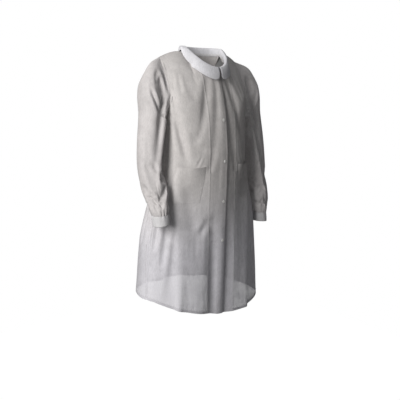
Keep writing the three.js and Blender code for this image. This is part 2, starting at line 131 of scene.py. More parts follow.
def top_edge(face, u):
    """Neckline, then shoulder seam, for an array of u."""
    reach = np.abs(u)
    angle = np.clip(u / NECK_SHARE, -1, 1) * np.pi / 2
    y0, z0 = THROAT if face == "front" else NAPE
    c = np.clip(np.cos(angle), 0, 1)
    neck = np.stack([NECK_HALF * np.sin(angle), NECK_Y + (y0 - NECK_Y) * c, z0 * c**1.3], -1)
    t = np.clip((reach - NECK_SHARE) / (1 - NECK_SHARE), 0, 1)
    seam = np.stack([
        np.sign(u) * (NECK_HALF + (SHOULDER[0] - NECK_HALF) * t),
        NECK_Y + (SHOULDER[1] - NECK_Y) * t,
        SHOULDER[2] * t**1.25 + SHOULDER_PAD * np.sin(np.pi * t**0.8),
    ], -1)
    return np.where((reach < NECK_SHARE)[:, None], neck, seam)


def coat_grid(face, u, v):
    """Points of a panel, in metres, shape (len(u), len(v), 3)."""
    u = np.asarray(u, float)
    s = np.sin(u * np.pi / 2)
    c = np.clip(np.cos(u * np.pi / 2), 0, 1)
    roundness = 2 / BOXINESS
    edge = ARMHOLE[face]
    bust = np.stack([
        ARMHOLE["x"] * signed_power(s, 0.95),
        edge + (BUST[face] - edge) * c**0.95,
        BUST["z"] + (ARMHOLE["z"] - BUST["z"]) * np.abs(s),
    ], -1)
    rows = [top_edge(face, u), bust]
    for level in LEVELS:
        z = np.full_like(u, level["z"])
        if level is LEVELS[-1]:
            z = z + smooth_between(u, HEM_U, HEM_TRIM[face])
            z = z - (HEM_FRONT_DIP * c if face == "front" else -HEM_BACK_RISE * c) - HEM_LEFT_DIP * u
        rows.append(np.stack([
            level["half"] * signed_power(s, roundness),
            level["mid"] + (level[face] - level["mid"]) * c**roundness,
            z,
        ], -1))
    grid = through(np.array(rows), KNOTS, v, UNDERARM_ROW)
    return grid.transpose(1, 0, 2) * MM


# %% Levels of the sleeves
# Each ring: distance out from the armhole, y, z, half width, half depth and tilt.
UPPER_RINGS = ((56, -2, -196, 90, 72, 60), (58, -11, -262, 58, 65, 34), (76, -19, -350, 47, 58, 12))
ELBOW_RING = (88, -32, -440, 44, 53, 0)
CAP_RISE, CAP_SHARE = 0.018, 0.45
CAP_OUT = {"right": 0.009, "left": 0.030}
FOREARM_RINGS = {
    "right": ((81, -58, -535, 46, 52, -4), (79, -82, -606, 40, 43, -6), (78, -89, -630, 34, 35, -6)),
    "left": ((102, -42, -560, 46, 52, -2), (108, -56, -672, 38, 42, -4), (110, -60, -700, 32, 34, -4)),
}
SIDES = {"right": -1, "left": 1}


def ring(side, values, turn):
    """Points of one sleeve ring, for an array of turns: 0 is outside, a quarter is the front."""
    out, y, z, wide, deep, tilt = values
    angle = turn * 2 * np.pi
    spread = np.interp(z, *LEFT_SLEEVE_OUT.values()) if side > 0 else 0
    out = out + (1 - WIDER_SHARE) * spread
    wide = wide + WIDER_SHARE * spread
    reach = wide * np.cos(angle)
    lean = math.radians(tilt)
    return np.stack([
        side * (ARMHOLE["x"] + out + reach * math.cos(lean)),
        y - deep * np.sin(angle),
        z + reach * math.sin(lean),
    ], -1) * MM


print("form: hem at", LEVELS[-1]["z"] * MM, "m, neck", 2 * NECK_HALF * MM, "m wide")

# %% [markdown]
# ## Draping the coat
# A loose coat is wider than what it hangs on, and the spare width falls into folds. The body and
# both sleeves are one welded mesh here, as they are once the coat is sewn. The cloth simulation
# takes its rest size from a second shape that is three hundredths wider round the body and a little
# more round the arms, but no longer, so that the folds run up and down. The shoulders and the neck
# are held fast and the rest only loosely, so that the coat keeps its outline.

# %% One welded mesh of the whole coat
HALF_COLUMNS = 34
ARMHOLE_ROWS = 22
BODY_ROWS = 66
SLEEVE_ROWS = 58
U = np.linspace(-1, 1, 2 * HALF_COLUMNS + 1)
V = np.concatenate([
    np.linspace(0, UNDERARM_KNOT, ARMHOLE_ROWS + 1),
    np.linspace(UNDERARM_KNOT, 1, BODY_ROWS + 1)[1:],
])
TURN_DOWN = np.arccos(1 - 2 * np.linspace(0, 1, ARMHOLE_ROWS + 1)) / (2 * np.pi)
TURNS = np.concatenate([TURN_DOWN, 1 - TURN_DOWN[-2:0:-1]])


def armhole_loop(front, back, side):
    column = 0 if side < 0 else -1
    down = front[column, : ARMHOLE_ROWS + 1]
    up = back[column, 1:ARMHOLE_ROWS][::-1]
    return np.concatenate([down, up])


def sleeve_grid(name, loop):
    """A sleeve from the armhole to the cuff, shape (turns, rows, 3)."""
    side = SIDES[name]
    rings = [ring(side, r, TURNS) for r in (*UPPER_RINGS, ELBOW_RING, *FOREARM_RINGS[name])]
    top = np.clip(np.cos(2 * np.pi * TURNS), 0, 1)[:, None] ** 1.5
    rise = top * np.array([side * CAP_OUT[name], 0, CAP_RISE])
    cap = loop * (1 - CAP_SHARE) + rings[0] * CAP_SHARE + rise
    keys = np.array([loop, cap, *rings])
    centres = keys.mean(axis=1)
    steps = np.linalg.norm(np.diff(centres, axis=0), axis=1)
    knots = np.concatenate([[0], np.cumsum(steps)]) / steps.sum()
    return through(keys, knots, np.linspace(0, 1, SLEEVE_ROWS + 1)).transpose(1, 0, 2)


class Weld:
    """Collects grids into one mesh, and remembers which vertex each grid point became."""

    def __init__(self):
        self.points, self.faces, self.seen = [], [], {}

    def vertex(self, point):
        key = tuple(np.round(point / 2e-5).astype(int))
        if key not in self.seen:
            self.seen[key] = len(self.points)
            self.points.append(point)
        return self.seen[key]

    def add(self, grid, ring_shape=False, flip=False):
        columns, rows = grid.shape[:2]
        ids = np.array([[self.vertex(p) for p in column] for column in grid])
        for i in range(columns if ring_shape else columns - 1):
            k = (i + 1) % columns
            for j in range(rows - 1):
                quad = [ids[i, j], ids[i, j + 1], ids[k, j + 1], ids[k, j]]
                quad = list(dict.fromkeys(quad))
                if len(quad) > 2:
                    self.faces.append(quad[::-1] if flip else quad)
        return ids


def new_object(name, points, faces, uvs=None):
    mesh = bpy.data.meshes.new(name)
    mesh.from_pydata([tuple(p) for p in points], [], [tuple(map(int, f)) for f in faces])
    mesh.validate()
    mesh.update()
    piece = bpy.data.objects.new(name, mesh)
    bpy.context.scene.collection.objects.link(piece)
    for polygon in mesh.polygons:
        polygon.use_smooth = True
    if uvs is not None:
        layer = mesh.uv_layers.new(name="cloth")
        for loop in mesh.loops:
            layer.data[loop.index].uv = uvs[loop.vertex_index]
    return piece


front_form = coat_grid("front", U, V)
back_form = coat_grid("back", U, V)
weld = Weld()
front_ids = weld.add(front_form)
back_ids = weld.add(back_form, flip=True)
sleeve_ids = {}
for side_name, side in SIDES.items():
    grid = sleeve_grid(side_name, armhole_loop(front_form, back_form, side))
    sleeve_ids[side_name] = weld.add(grid, ring_shape=True, flip=side > 0)
form_points = np.array(weld.points)
print("coat mesh:", len(form_points), "points")

# %% [markdown]
# ### Folds that gravity makes
# Long soft folds run down the skirt from the hips, because the hem is wider than what carries it.
# They are put into the form before it is draped, as a few waves that grow towards the hem. Each
# wave is a count round the coat, a phase and a depth.

# %% Skirt folds
FOLD_START, FOLD_END = -0.50, -1.0
SKIRT_WAVES = ((5, 0.4, 0.007), (8, 2.1, 0.005), (13, 4.0, 0.003))


def skirt_folds(points):
    """Moves points out and in, in waves round the skirt that grow towards the hem."""
    out = points.copy()
    angle = np.arctan2(points[:, 1] - 0.01, points[:, 0])
    grow = smooth(FOLD_START, FOLD_END, points[:, 2])
    wave = np.zeros(len(points))
    for count, phase, deep in SKIRT_WAVES:
        sway = 0.35 * np.sin(points[:, 2] * 4 + count)
        wave += deep * np.sin(count * angle + phase + sway)
    out[:, 0] += np.cos(angle) * wave * grow
    out[:, 1] += np.sin(angle) * wave * grow
    return out


sleeve_points = np.zeros(len(form_points), bool)
for ids in sleeve_ids.values():
    sleeve_points[ids[:, 2:].ravel()] = True
body_points = ~sleeve_points
start_points = form_points.copy()
start_points[body_points] = skirt_folds(form_points[body_points])

# %% The simulation
BODY_EASE, SLEEVE_EASE = 0.030, 0.045
LOOSE, HEM_HOLD, CLOSING_HOLD = 0.09, 0.05, 0.14
SHOULDER_HOLD, ARMHOLE_HOLD, CAP_HOLD = 0.35, 0.55, 0.35
FRAMES = 28
CHEST_CALM = 0.5


def hold_weights():
    """How firmly each point is held, from 0 to 1, which is fixed."""
    z = form_points[:, 2]
    x = np.abs(form_points[:, 0])
    weight = np.full(len(form_points), LOOSE)
    weight[body_points] += HEM_HOLD * smooth(-0.55, -1.03, z[body_points])
    weight += SHOULDER_HOLD * smooth(-0.13, -0.03, z)
    closing = (x < 0.02) & (form_points[:, 1] < 0) & body_points
    weight[closing] = CLOSING_HOLD
    for ids in sleeve_ids.values():
        weight[ids[:, 0]] = ARMHOLE_HOLD
        weight[ids[:, 1:3]] = CAP_HOLD
        weight[ids[:, -2:].ravel()] = 1
    weight[front_ids[:, 0]] = 1
    weight[back_ids[:, 0]] = 1
    return np.clip(weight, 0, 1)


def cut_wider(points):
    """The coat as it was cut: wider round the body and the arms than its form, but no longer."""
    out = points.copy()
    ease = BODY_EASE * smooth(-0.06, -0.24, points[:, 2])
    out[body_points, 0] *= 1 + ease[body_points]
    out[body_points, 1] *= 1 + ease[body_points]
    for ids in sleeve_ids.values():
        middle = points[ids].mean(axis=0, keepdims=True)
        grow = SLEEVE_EASE * np.clip(np.arange(ids.shape[1]) / 6, 0, 1)[None, :, None]
        wider = middle + (points[ids] - middle) * (1 + grow)
        out[ids[:, 2:]] = wider[:, 2:]
    return out


def drape(points, faces):
    """Runs the cloth from its form and returns the settled points."""
    cloth = new_object("drape_cloth", points, faces)
    cloth.shape_key_add(name="form", from_mix=False)
    rest = cloth.shape_key_add(name="cut", from_mix=False)
    rest.data.foreach_set("co", cut_wider(points).ravel())
    group = cloth.vertex_groups.new(name="hold")
    for index, weight in enumerate(hold_weights()):
        group.add([index], float(weight), "REPLACE")
    modifier = cloth.modifiers.new("cloth", "CLOTH")
    settings = modifier.settings
    settings.quality = 6
    settings.mass = 0.1
    settings.air_damping = 4
    settings.tension_stiffness = 30
    settings.compression_stiffness = 30
    settings.shear_stiffness = 18
    settings.bending_stiffness = 1.2
    settings.rest_shape_key = rest
    settings.vertex_group_mass = "hold"
    settings.pin_stiffness = 1.2
    modifier.collision_settings.use_collision = False
    modifier.point_cache.frame_start = 1
    modifier.point_cache.frame_end = FRAMES
    scene = bpy.context.scene
    for number in range(1, FRAMES + 1):
        scene.frame_set(number)
    evaluated = cloth.evaluated_get(bpy.context.evaluated_depsgraph_get())
    mesh = evaluated.to_mesh()
    out = np.empty(len(mesh.vertices) * 3)
    mesh.vertices.foreach_get("co", out)
    evaluated.to_mesh_clear()
    scene.frame_set(1)
    bpy.data.objects.remove(cloth, do_unlink=True)
    return out.reshape(-1, 3)


points = start_points
points = drape(start_points, weld.faces)
moved = np.linalg.norm(points - start_points, axis=1)
chest = body_points & (form_points[:, 1] < 0)
calm = CHEST_CALM * smooth(-0.50, -0.38, form_points[:, 2]) * chest
points = points + (start_points - points) * calm[:, None]
print("draped: moved by", round(float(moved.mean() * 1000), 1), "mm on average, at most",
      round(float(moved.max() * 1000), 1))

# %% [markdown]
# ## Shader maths as plain expressions
# A node tree is hard to read as a list of links. This small class wraps a socket, so that
# `1 - mask * 0.5` in the text adds the Math nodes it stands for.

# %% Sockets with operators


class Value:
    """A number socket in a material's tree."""

    def __init__(self, tree, socket):
        self.tree, self.socket = tree, socket

    def _math(self, operation, *terms):
        node = self.tree.nodes.new("ShaderNodeMath")
        node.operation = operation
        for index, term in enumerate(terms):
            if isinstance(term, Value):
                self.tree.links.new(term.socket, node.inputs[index])
            else:
                node.inputs[index].default_value = term
        return Value(self.tree, node.outputs[0])

    def __add__(self, other):
        return self._math("ADD", self, other)

    def __sub__(self, other):
        return self._math("SUBTRACT", self, other)

    def __mul__(self, other):
        return self._math("MULTIPLY", self, other)

    def __rsub__(self, other):
        return self._math("SUBTRACT", other, self)

    __radd__ = __add__
    __rmul__ = __mul__

    def above(self, edge, soft):
        """0 below edge - soft, 1 above edge + soft."""
        node = self.tree.nodes.new("ShaderNodeMapRange")
        node.interpolation_type = "SMOOTHSTEP"
        self.tree.links.new(self.socket, node.inputs["Value"])
        node.inputs["From Min"].default_value = edge - soft
        node.inputs["From Max"].default_value = edge + soft
        return Value(self.tree, node.outputs["Result"])


class Finish:
    """A material with a Principled shader, and short ways to add nodes to it."""

    def __init__(self, name, **settings):
        self.material = bpy.data.materials.new(name)
        self.material.use_nodes = True
        self.tree = self.material.node_tree
        self.shader = self.tree.nodes["Principled BSDF"]
        for key, value in settings.items():
            self.shader.inputs[key.replace("_", " ")].default_value = value

    def node(self, kind, settings=None, **sockets):
        made = self.tree.nodes.new(kind)
        for key, value in (settings or {}).items():
            setattr(made, key, value)
        for key, value in sockets.items():
            socket = made.inputs[key.replace("_", " ")]
            if isinstance(value, Value):
                self.tree.links.new(value.socket, socket)
            elif hasattr(value, "links"):
                self.tree.links.new(value, socket)
            else:
                socket.default_value = value
        return made

    def noise(self, vector, scale, detail=4, rough=0.6):
        made = self.node("ShaderNodeTexNoise", Vector=vector, Scale=scale, Detail=detail, Roughness=rough)
        return Value(self.tree, made.outputs["Fac"])

    def stretched(self, vector, scale, turn=(0, 0, 0)):
        made = self.node("ShaderNodeMapping", Vector=vector, Scale=scale, Rotation=turn)
        return made.outputs["Vector"]

    def mix(self, mask, low, high):
        made = self.node("ShaderNodeMix", {"data_type": "RGBA"})
        self.tree.links.new(mask.socket, made.inputs["Factor"])
        for index, end in ((6, low), (7, high)):
            if hasattr(end, "links"):
                self.tree.links.new(end, made.inputs[index])
            else:
                made.inputs[index].default_value = end
        return made.outputs[2]

    def bump(self, height, strength, distance):
        made = self.node("ShaderNodeBump", Strength=strength, Distance=distance)
        self.tree.links.new(height.socket, made.inputs["Height"])
        self.tree.links.new(made.outputs["Normal"], self.shader.inputs["Normal"])

    def feed(self, socket, value):
        source = value.socket if isinstance(value, Value) else value
        self.tree.links.new(source, self.shader.inputs[socket])


# %% [markdown]
# ## The cloth's finish
# Spunbond cloth isn't woven. Its fibres fall unevenly, so it is cloudy, with thin and thick places
# a few centimetres across and fine streaks along the roll. The weld points are a grid of dots
# 2 mm apart. The thick places hold more light back, so the same clouds drive both the cloth's
# opacity and its colour. Double layers are the same cloth with less showing through.
# The cloth's tones are greyer than the white cloth: painted shade of the coat's shaded inside seen through
# it, darkest on the body above the hips.

# %% Cloth
CLOUD_SCALE = 22
STREAK_SCALE, STREAK_TURN = (620, 620, 90), (0.1, 0.2, 0)
FINE_SCALE = 190
WELD_PITCH = 0.0021
THICK_SHADE = 0.86
# Height in metres where the body cloth's painted shade ends. Above it the cloth is painted darker and
# warmer: painted shade standing for the beige display form inside the coat, seen in shade through the cloth
# and left out of the scene. Below it the cloth is paler and cooler.
PAINTED_SHADE_END_Z = -0.66


def nonwoven(name, opacity, tone, below_shade_tone=None):
    """Bonded cloth. opacity is how much of what lies behind one layer hides. The tones are painted grey:
    painted shade of the coat's shaded inside seen through the white cloth.
    """
    f = Finish(name, Roughness=0.78, IOR=1.42, Sheen_Weight=0.25, Sheen_Roughness=0.4)
    place = f.node("ShaderNodeTexCoord").outputs["Object"]
    cloud = f.noise(place, CLOUD_SCALE, 5, 0.62)
    fine = f.noise(f.stretched(place, (1, 1, 0.25)), FINE_SCALE, 3, 0.7)
    streak = f.noise(f.stretched(place, STREAK_SCALE, STREAK_TURN), 1.0, 2, 0.6)
    fibres = cloud * 0.45 + fine * 0.3 + streak * 0.35
    dots = f.node("ShaderNodeTexVoronoi", {"feature": "F1"}, Vector=place, Scale=1 / WELD_PITCH,
                  Randomness=0.25)
    weld = 1 - Value(f.tree, dots.outputs["Distance"]).above(0.33, 0.12)
    shade = fibres.above(0.55, 0.28)
    light = (*tone, 1)
    dark = (*(THICK_SHADE * c for c in tone), 1)
    height = f.node("ShaderNodeSeparateXYZ", Vector=place).outputs["Z"]
    # Painted shade: above the given height the cloth takes the darker, warmer tone.
    lower = 1 - Value(f.tree, height).above(PAINTED_SHADE_END_Z, 0.2)
    low_light = below_shade_tone or tone
    low_dark = (*(THICK_SHADE * c for c in low_light), 1)
    painted_shade_colour = f.mix(shade, dark, light)
    below_shade_colour = f.mix(shade, low_dark, (*low_light, 1))
    f.feed("Base Color", f.mix(lower, painted_shade_colour, below_shade_colour))
    f.feed("Alpha", shade * 0.26 + (opacity - 0.13) - weld * 0.07)
    f.feed("Roughness", 0.84 - weld * 0.22)
    f.bump(fibres * 0.7 - weld * 0.35, 0.32, 0.0006)
    return f.material


# These tones are painted shade as well as cloth colour: the cloth is white, and its grey stands for the
# shaded inside seen through it. The body cloth's first tone, above the hips, is the darker painted shade;
# its second tone, below, is paler and cooler.
CLOTH = nonwoven("nonwoven_single", 0.90, (0.66, 0.635, 0.625), (0.74, 0.73, 0.78))
SLEEVE_CLOTH = nonwoven("nonwoven_sleeve", 0.89, (0.645, 0.62, 0.62))
DOUBLE_CLOTH = nonwoven("nonwoven_double", 0.93, (0.72, 0.715, 0.73))
COLLAR_CLOTH = nonwoven("nonwoven_collar", 0.82, (0.86, 0.86, 0.90))
SEAM_CLOTH = nonwoven("nonwoven_seam", 0.72, (0.40, 0.39, 0.40))


def plastic(name, colour):
    """Moulded snap plastic, slightly milky, with a faint mould grain."""
    f = Finish(name, Roughness=0.36, IOR=1.49, Subsurface_Weight=0.0)
    place = f.node("ShaderNodeTexCoord").outputs["Object"]
    grain = f.noise(place, 900, 2)
    f.feed("Base Color", f.mix(grain, tuple(0.9 * c for c in colour) + (1,), (*colour, 1)))
    f.feed("Roughness", grain * 0.16 + 0.28)
    f.bump(grain, 0.15, 0.0003)
    return f.material


SNAP_PLASTIC = plastic("snap_plastic", (0.80, 0.80, 0.78))
THREAD = plastic("sewing_thread", (0.78, 0.77, 0.76))
print("finishes:", len(bpy.data.materials))

# %% [markdown]
# ## From the draped points back to panels
# The draped coat is one mesh, but a real coat is cut from panels. Each panel is a window on the
# same grid of points, so neighbours share their edge exactly and no gap opens at a seam. A layer
# that lies behind another is the same grid moved inwards along its normals.

# %% Panels as windows on the draped grid
FINER = 3


def refined(grid, factor, axis, closed=False):
    """The same smooth surface with factor times as many points along an axis."""
    grid = np.moveaxis(grid, axis, 0)
    count = len(grid)
    place = np.arange(count * factor if closed else (count - 1) * factor + 1) / factor
    i = np.minimum(np.floor(place).astype(int), count - 1 if closed else count - 2)
    s = (place - i).reshape(-1, *[1] * (grid.ndim - 1))
    if closed:
        p0, p1, p2, p3 = (grid[(i + k) % count] for k in (-1, 0, 1, 2))
    else:
        padded = np.concatenate([2 * grid[:1] - grid[1:2], grid, 2 * grid[-1:] - grid[-2:-1]])
        p0, p1, p2, p3 = (padded[i + k] for k in (0, 1, 2, 3))
    out = 0.5 * (2 * p1 + (p2 - p0) * s + (2 * p0 - 5 * p1 + 4 * p2 - p3) * s**2
                 + (3 * p1 - p0 - 3 * p2 + p3) * s**3)
    return np.moveaxis(out, 0, axis)


SMOOTH_FRONT = refined(refined(front_form, FINER, 0), FINER, 1)
SMOOTH_BACK = refined(refined(back_form, FINER, 0), FINER, 1)
FRONT = refined(refined(points[front_ids], FINER, 0), FINER, 1)
BACK = refined(refined(points[back_ids], FINER, 0), FINER, 1)
SLEEVE = {name: refined(refined(points[ids], FINER, 0, closed=True), 2, 1)
          for name, ids in sleeve_ids.items()}
U = np.interp(np.arange((len(U) - 1) * FINER + 1) / FINER, np.arange(len(U)), U)
V = np.interp(np.arange((len(V) - 1) * FINER + 1) / FINER, np.arange(len(V)), V)
UNDERARM = ARMHOLE_ROWS * FINER


def grid_normals(grid, ring_shape=False):
    """Unit normals of a grid of points, pointing out for a front panel."""
    if ring_shape:
        along = np.roll(grid, -1, axis=0) - np.roll(grid, 1, axis=0)
    else:
        along = np.gradient(grid, axis=0)
    down = np.gradient(grid, axis=1)
    normal = np.cross(down, along)
    return normal / np.maximum(np.linalg.norm(normal, axis=-1, keepdims=True), 1e-9)


def outward(grid):
    """Normals of a sleeve that point away from its middle."""
    normal = grid_normals(grid, ring_shape=True)
    away = grid - grid.mean(axis=0, keepdims=True)
    return np.where((normal * away).sum(axis=-1, keepdims=True) < 0, -normal, normal)


# %% [markdown]
# ### Pulls and pressed creases
# Where the arm pulls on the cloth, short sharp folds run from the shoulder to the armpit. The coat
# was also packed flat, so a few straight creases cross it. Each is a line with a width, and a depth
# that is negative for a valley. A valley gets a raised lip on both sides. The stitched lines of the
# front stand up a little, and the side seams sink in.

# %% Pull lines
ARM_PULLS = (
    ((-0.213, -0.024, -0.066), (-0.209, -0.060, -0.155), 0.0065, -0.0085),
    ((-0.266, -0.040, -0.090), (-0.226, -0.062, -0.172), 0.0060, -0.0080),
    ((-0.292, -0.050, -0.135), (-0.256, -0.066, -0.235), 0.0065, -0.0085),
    ((-0.256, -0.066, -0.235), (-0.212, -0.060, -0.262), 0.0060, -0.0060),
    ((-0.297, -0.066, -0.430), (-0.262, -0.090, -0.500), 0.0080, -0.0050),
)
FRONT_PULLS = (
    ((-0.196, -0.062, -0.177), (-0.090, -0.115, -0.146), 0.0030, 0.0022),
    ((-0.122, -0.126, -0.448), (-0.102, -0.134, -0.408), 0.0052, -0.0036),
    ((-0.086, -0.140, -0.690), (-0.112, -0.134, -0.735), 0.0140, -0.0040),
    ((-0.196, -0.085, -0.519), (-0.130, -0.118, -0.519), 0.0028, 0.0020),
    ((-0.150, -0.122, -0.750), (0.004, -0.148, -0.772), 0.0028, 0.0020),
    ((-0.198, -0.062, -0.215), (-0.160, -0.110, -0.420), 0.0120, -0.0060),
    ((0.196, -0.062, -0.215), (0.165, -0.110, -0.420), 0.0120, -0.0060),
    ((0.120, -0.130, -0.460), (0.100, -0.136, -0.410), 0.0060, -0.0060),
)


# Each ridge down the fronts: x, width and height.
SEAM_RIDGES = ((-0.0715, 0.0022, 0.0011), (0.0715, 0.0022, 0.0011), (0.0125, 0.0030, 0.0013))


def ridged(grid, out):
    """Raises the lines where the front is stitched to its facing, and its folded edge."""
    lift = sum(high * np.exp(-(((grid[..., 0] - x) / width) ** 2)) for x, width, high in SEAM_RIDGES)
    return grid + out * lift[..., None]


SEAM_GROOVE, SEAM_WIDE = 0.0022, 0.0035


def grooved(grid):
    """Sinks both edges of a body panel a little towards the middle, where the side seam is sewn."""
    away = grid * np.array([1, 1, 0]) - np.array([0, -0.015, 0])
    away /= np.linalg.norm(away, axis=-1, keepdims=True)
    side = np.stack([np.linalg.norm(grid - grid[edge][None], axis=-1) for edge in (0, -1)])
    sink = SEAM_GROOVE * np.exp(-((side.min(axis=0) / SEAM_WIDE) ** 2)) * (V > UNDERARM_KNOT)
    return grid - away * sink[..., None]


def press(grid, out, pulls):
    """Moves a grid along its normals by a set of fold lines."""
    lift = np.zeros(grid.shape[:2])
    for start, end, width, depth in pulls:
        start, end = np.array(start), np.array(end)
        along = end - start
        t = np.clip((grid - start) @ along / (along @ along), 0, 1)
        reach = np.linalg.norm(grid - (start + t[..., None] * along), axis=-1)
        taper = np.sin(np.pi * np.clip(t * 0.94 + 0.03, 0, 1)) ** 0.6
        lift += depth * taper * np.exp(-((reach / width) ** 2))
        if depth < 0:
            lift -= 0.45 * depth * taper * np.exp(-(((reach - 1.9 * width) / width) ** 2))
    return grid + out * lift[..., None]


FRONT = press(FRONT, grid_normals(FRONT), FRONT_PULLS)
FRONT = grooved(ridged(FRONT, grid_normals(FRONT)))
BACK = grooved(BACK)
SLEEVE["right"] = press(SLEEVE["right"], outward(SLEEVE["right"]), ARM_PULLS)
mirrored = [((-a[0], *a[1:]), (-b[0], *b[1:]), w, 0.6 * d) for a, b, w, d in ARM_PULLS]
SLEEVE["left"] = press(SLEEVE["left"], outward(SLEEVE["left"]), mirrored)
FRONT_OUT = grid_normals(FRONT)
BACK_OUT = -grid_normals(BACK)


def cloth_piece(name, grid, material, ring_shape=False, flip=False):
    """One open sheet from a grid, with uvs in metres along the cloth."""
    columns, rows = grid.shape[:2]
    width = np.linalg.norm(np.diff(grid, axis=0), axis=-1).mean(axis=1)
    length = np.linalg.norm(np.diff(grid, axis=1), axis=-1).mean(axis=0)
    across = np.concatenate([[0], np.cumsum(width)])
    down = np.concatenate([[0], np.cumsum(length)])
    uvs = [(across[i], down[j]) for i in range(columns) for j in range(rows)]
    faces = []
    for i in range(columns if ring_shape else columns - 1):
        k = (i + 1) % columns
        for j in range(rows - 1):
            quad = [i * rows + j, i * rows + j + 1, k * rows + j + 1, k * rows + j]
            faces.append(quad[::-1] if flip else quad)
    piece = new_object(name, grid.reshape(-1, 3), faces, uvs)
    piece.data.materials.append(material)
    return piece


def cut(piece, co, no):
    """Removes what lies beyond the plane through co on the side that no points to."""
    work = bmesh.new()
    work.from_mesh(piece.data)
    bmesh.ops.bisect_plane(work, geom=work.verts[:] + work.edges[:] + work.faces[:],
                           plane_co=co, plane_no=no, clear_outer=True)
    work.to_mesh(piece.data)
    work.free()


def area_of(piece):
    return sum(p.area for p in piece.data.polygons)


# %% [markdown]
# ## Back and fronts
# The back is one panel. Each front is cut past the centre line, and the right one laps over the
# left, so the left front steps inwards near the centre to lie behind it. Both fronts hinge along
# the inner edge of their facing when the coat is opened.

# %% Back panel and fronts
LAP, UNDER_LAP = 0.015, 0.009
FOLD_X = 0.082
LEFT_INSET = 0.0040
left_step = LEFT_INSET * (1 - smooth(0.02, 0.11, FRONT[..., 0:1]))
left_front_grid = FRONT - FRONT_OUT * left_step
right_u = U <= 0.12
left_u = U >= -0.12


def blend_front(piece, side):
    """Bakes the piece's placement into its points."""
    name = "right_front" if side < 0 else "left_front"
    start = Vector((side * (FOLD_X + 0.006), 0, 0))
    end = Vector((side * (FOLD_X - 0.016), 0, 0))
    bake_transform(piece)


back = cloth_piece("back_panel_cloth", BACK, CLOTH, flip=True)
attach(back, "coat_body")
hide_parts("back_panel")

right_front = cloth_piece("right_front_cloth", FRONT[right_u], CLOTH)
cut(right_front, (LAP, 0, 0), (1, 0, 0))
blend_front(right_front, -1)
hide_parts("right_side_front", "right_front_edge")

left_front = cloth_piece("left_front_cloth", left_front_grid[left_u], CLOTH)
cut(left_front, (-UNDER_LAP, 0, 0), (-1, 0, 0))
blend_front(left_front, 1)
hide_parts("left_side_front", "left_front_edge")
print("fronts and back:", [round(area_of(p), 3) for p in (back, right_front, left_front)], "m2")

# %% [markdown]
# ## Facings, hems and pockets
# Each front's edge is doubled by a facing, which is stitched down along its inner edge. The hem is
# turned up by 12 mm and stitched. The pockets are patches sewn on three sides, with a doubled mouth
# that sags a little. A layer lies just off the one it is sewn to.

# %% Pieces that follow the grid
HEM_TURN = 0.012
FACING_HALF = 0.075


def column_range(low, high):
    return (U >= low - 1e-6) & (U <= high + 1e-6)


def surface(face_grid, out, u, v, lift):
    """Points at fractional grid positions u (-1..1) and v (0..1), lifted along the normals."""
    column = np.interp(u, U, np.arange(len(U)))
    row = np.interp(v, V, np.arange(len(V)))
    i = np.clip(np.floor(column).astype(int), 0, len(U) - 2)
    j = np.clip(np.floor(row).astype(int), 0, len(V) - 2)
    a, b = (column - i)[..., None], (row - j)[..., None]

    def blend_of(grid):
        top = grid[i, j] * (1 - a) + grid[i + 1, j] * a
        low = grid[i, j + 1] * (1 - a) + grid[i + 1, j + 1] * a
        return top * (1 - b) + low * b

    return blend_of(face_grid) + blend_of(out) * np.asarray(lift)[..., None]


def patch(face_grid, out, u_values, v_values, lift):
    """A grid of points over u_values x v_values. lift is a number or an array of that shape."""
    u, v = np.meshgrid(u_values, v_values, indexing="ij")
    return surface(face_grid, out, u, v, np.broadcast_to(lift, u.shape))


def facing(name, face_grid, side, lift):
    """The doubled strip behind a front's edge."""
    grid = patch(face_grid, FRONT_OUT, U[column_range(-0.30, 0.30)], V, lift)
    piece = cloth_piece(name, grid, DOUBLE_CLOTH)
    edge = LAP - 0.001 if side < 0 else UNDER_LAP - 0.001
    cut(piece, (-side * edge, 0, 0), (-side, 0, 0))
    cut(piece, (side * FACING_HALF, 0, 0), (side, 0, 0))
    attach(piece, "right_front" if side < 0 else "left_front")
    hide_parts("right_facing" if side < 0 else "left_facing")
    return piece


right_facing = facing("right_facing_strip", FRONT, -1, -0.0016)
left_facing = facing("left_facing_strip", left_front_grid, 1, -0.0016)

HEM_ROWS = V[-7:]


def hem_band(name, face_grid, out, low, high, cuts, body):
    """The turned-up hem: a strip inside the panel's lower edge."""
    grid = patch(face_grid, out, U[column_range(low, high)], HEM_ROWS, -0.0011)
    away = grid[:, -1:] - grid[:, :1]
    reach = np.linalg.norm(away, axis=-1, keepdims=True)
    scale = np.linspace(1, 0, len(HEM_ROWS))[None, :, None]
    grid = grid[:, -1:] - away / reach * HEM_TURN * scale
    piece = cloth_piece(name, grid, DOUBLE_CLOTH, flip=face_grid is BACK)
    for co, no in cuts:
        cut(piece, co, no)
    if body in ("right_front", "left_front"):
        blend_front(piece, -1 if body == "right_front" else 1)
    else:
        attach(piece, body)
    return piece


hem_band("right_front_hem", FRONT, FRONT_OUT, -1, 0.12, [((LAP, 0, 0), (1, 0, 0))], "right_front")
hem_band("left_front_hem", left_front_grid, FRONT_OUT, -0.12, 1,
         [((-UNDER_LAP, 0, 0), (-1, 0, 0))], "left_front")
hem_band("back_hem", BACK, BACK_OUT, -1, 1, [], "coat_body")

# %% Patch pockets
POCKET_U = (0.26, 0.70)
POCKET_GRID = 25
MOUTH_SAG, MOUTH_SLACK = 0.010, 0.004
POCKET_TOP_Z, POCKET_BOTTOM_Z = -0.452, -0.598
MOUTH_FOLD = 0.022


def v_at(face_grid, u, z):
    """v where the panel's column at u reaches the height z."""
    column = int(round(float(np.interp(u, U, np.arange(len(U))))))
    heights = face_grid[column, :, 2]
    return float(np.interp(-z, -heights, V))


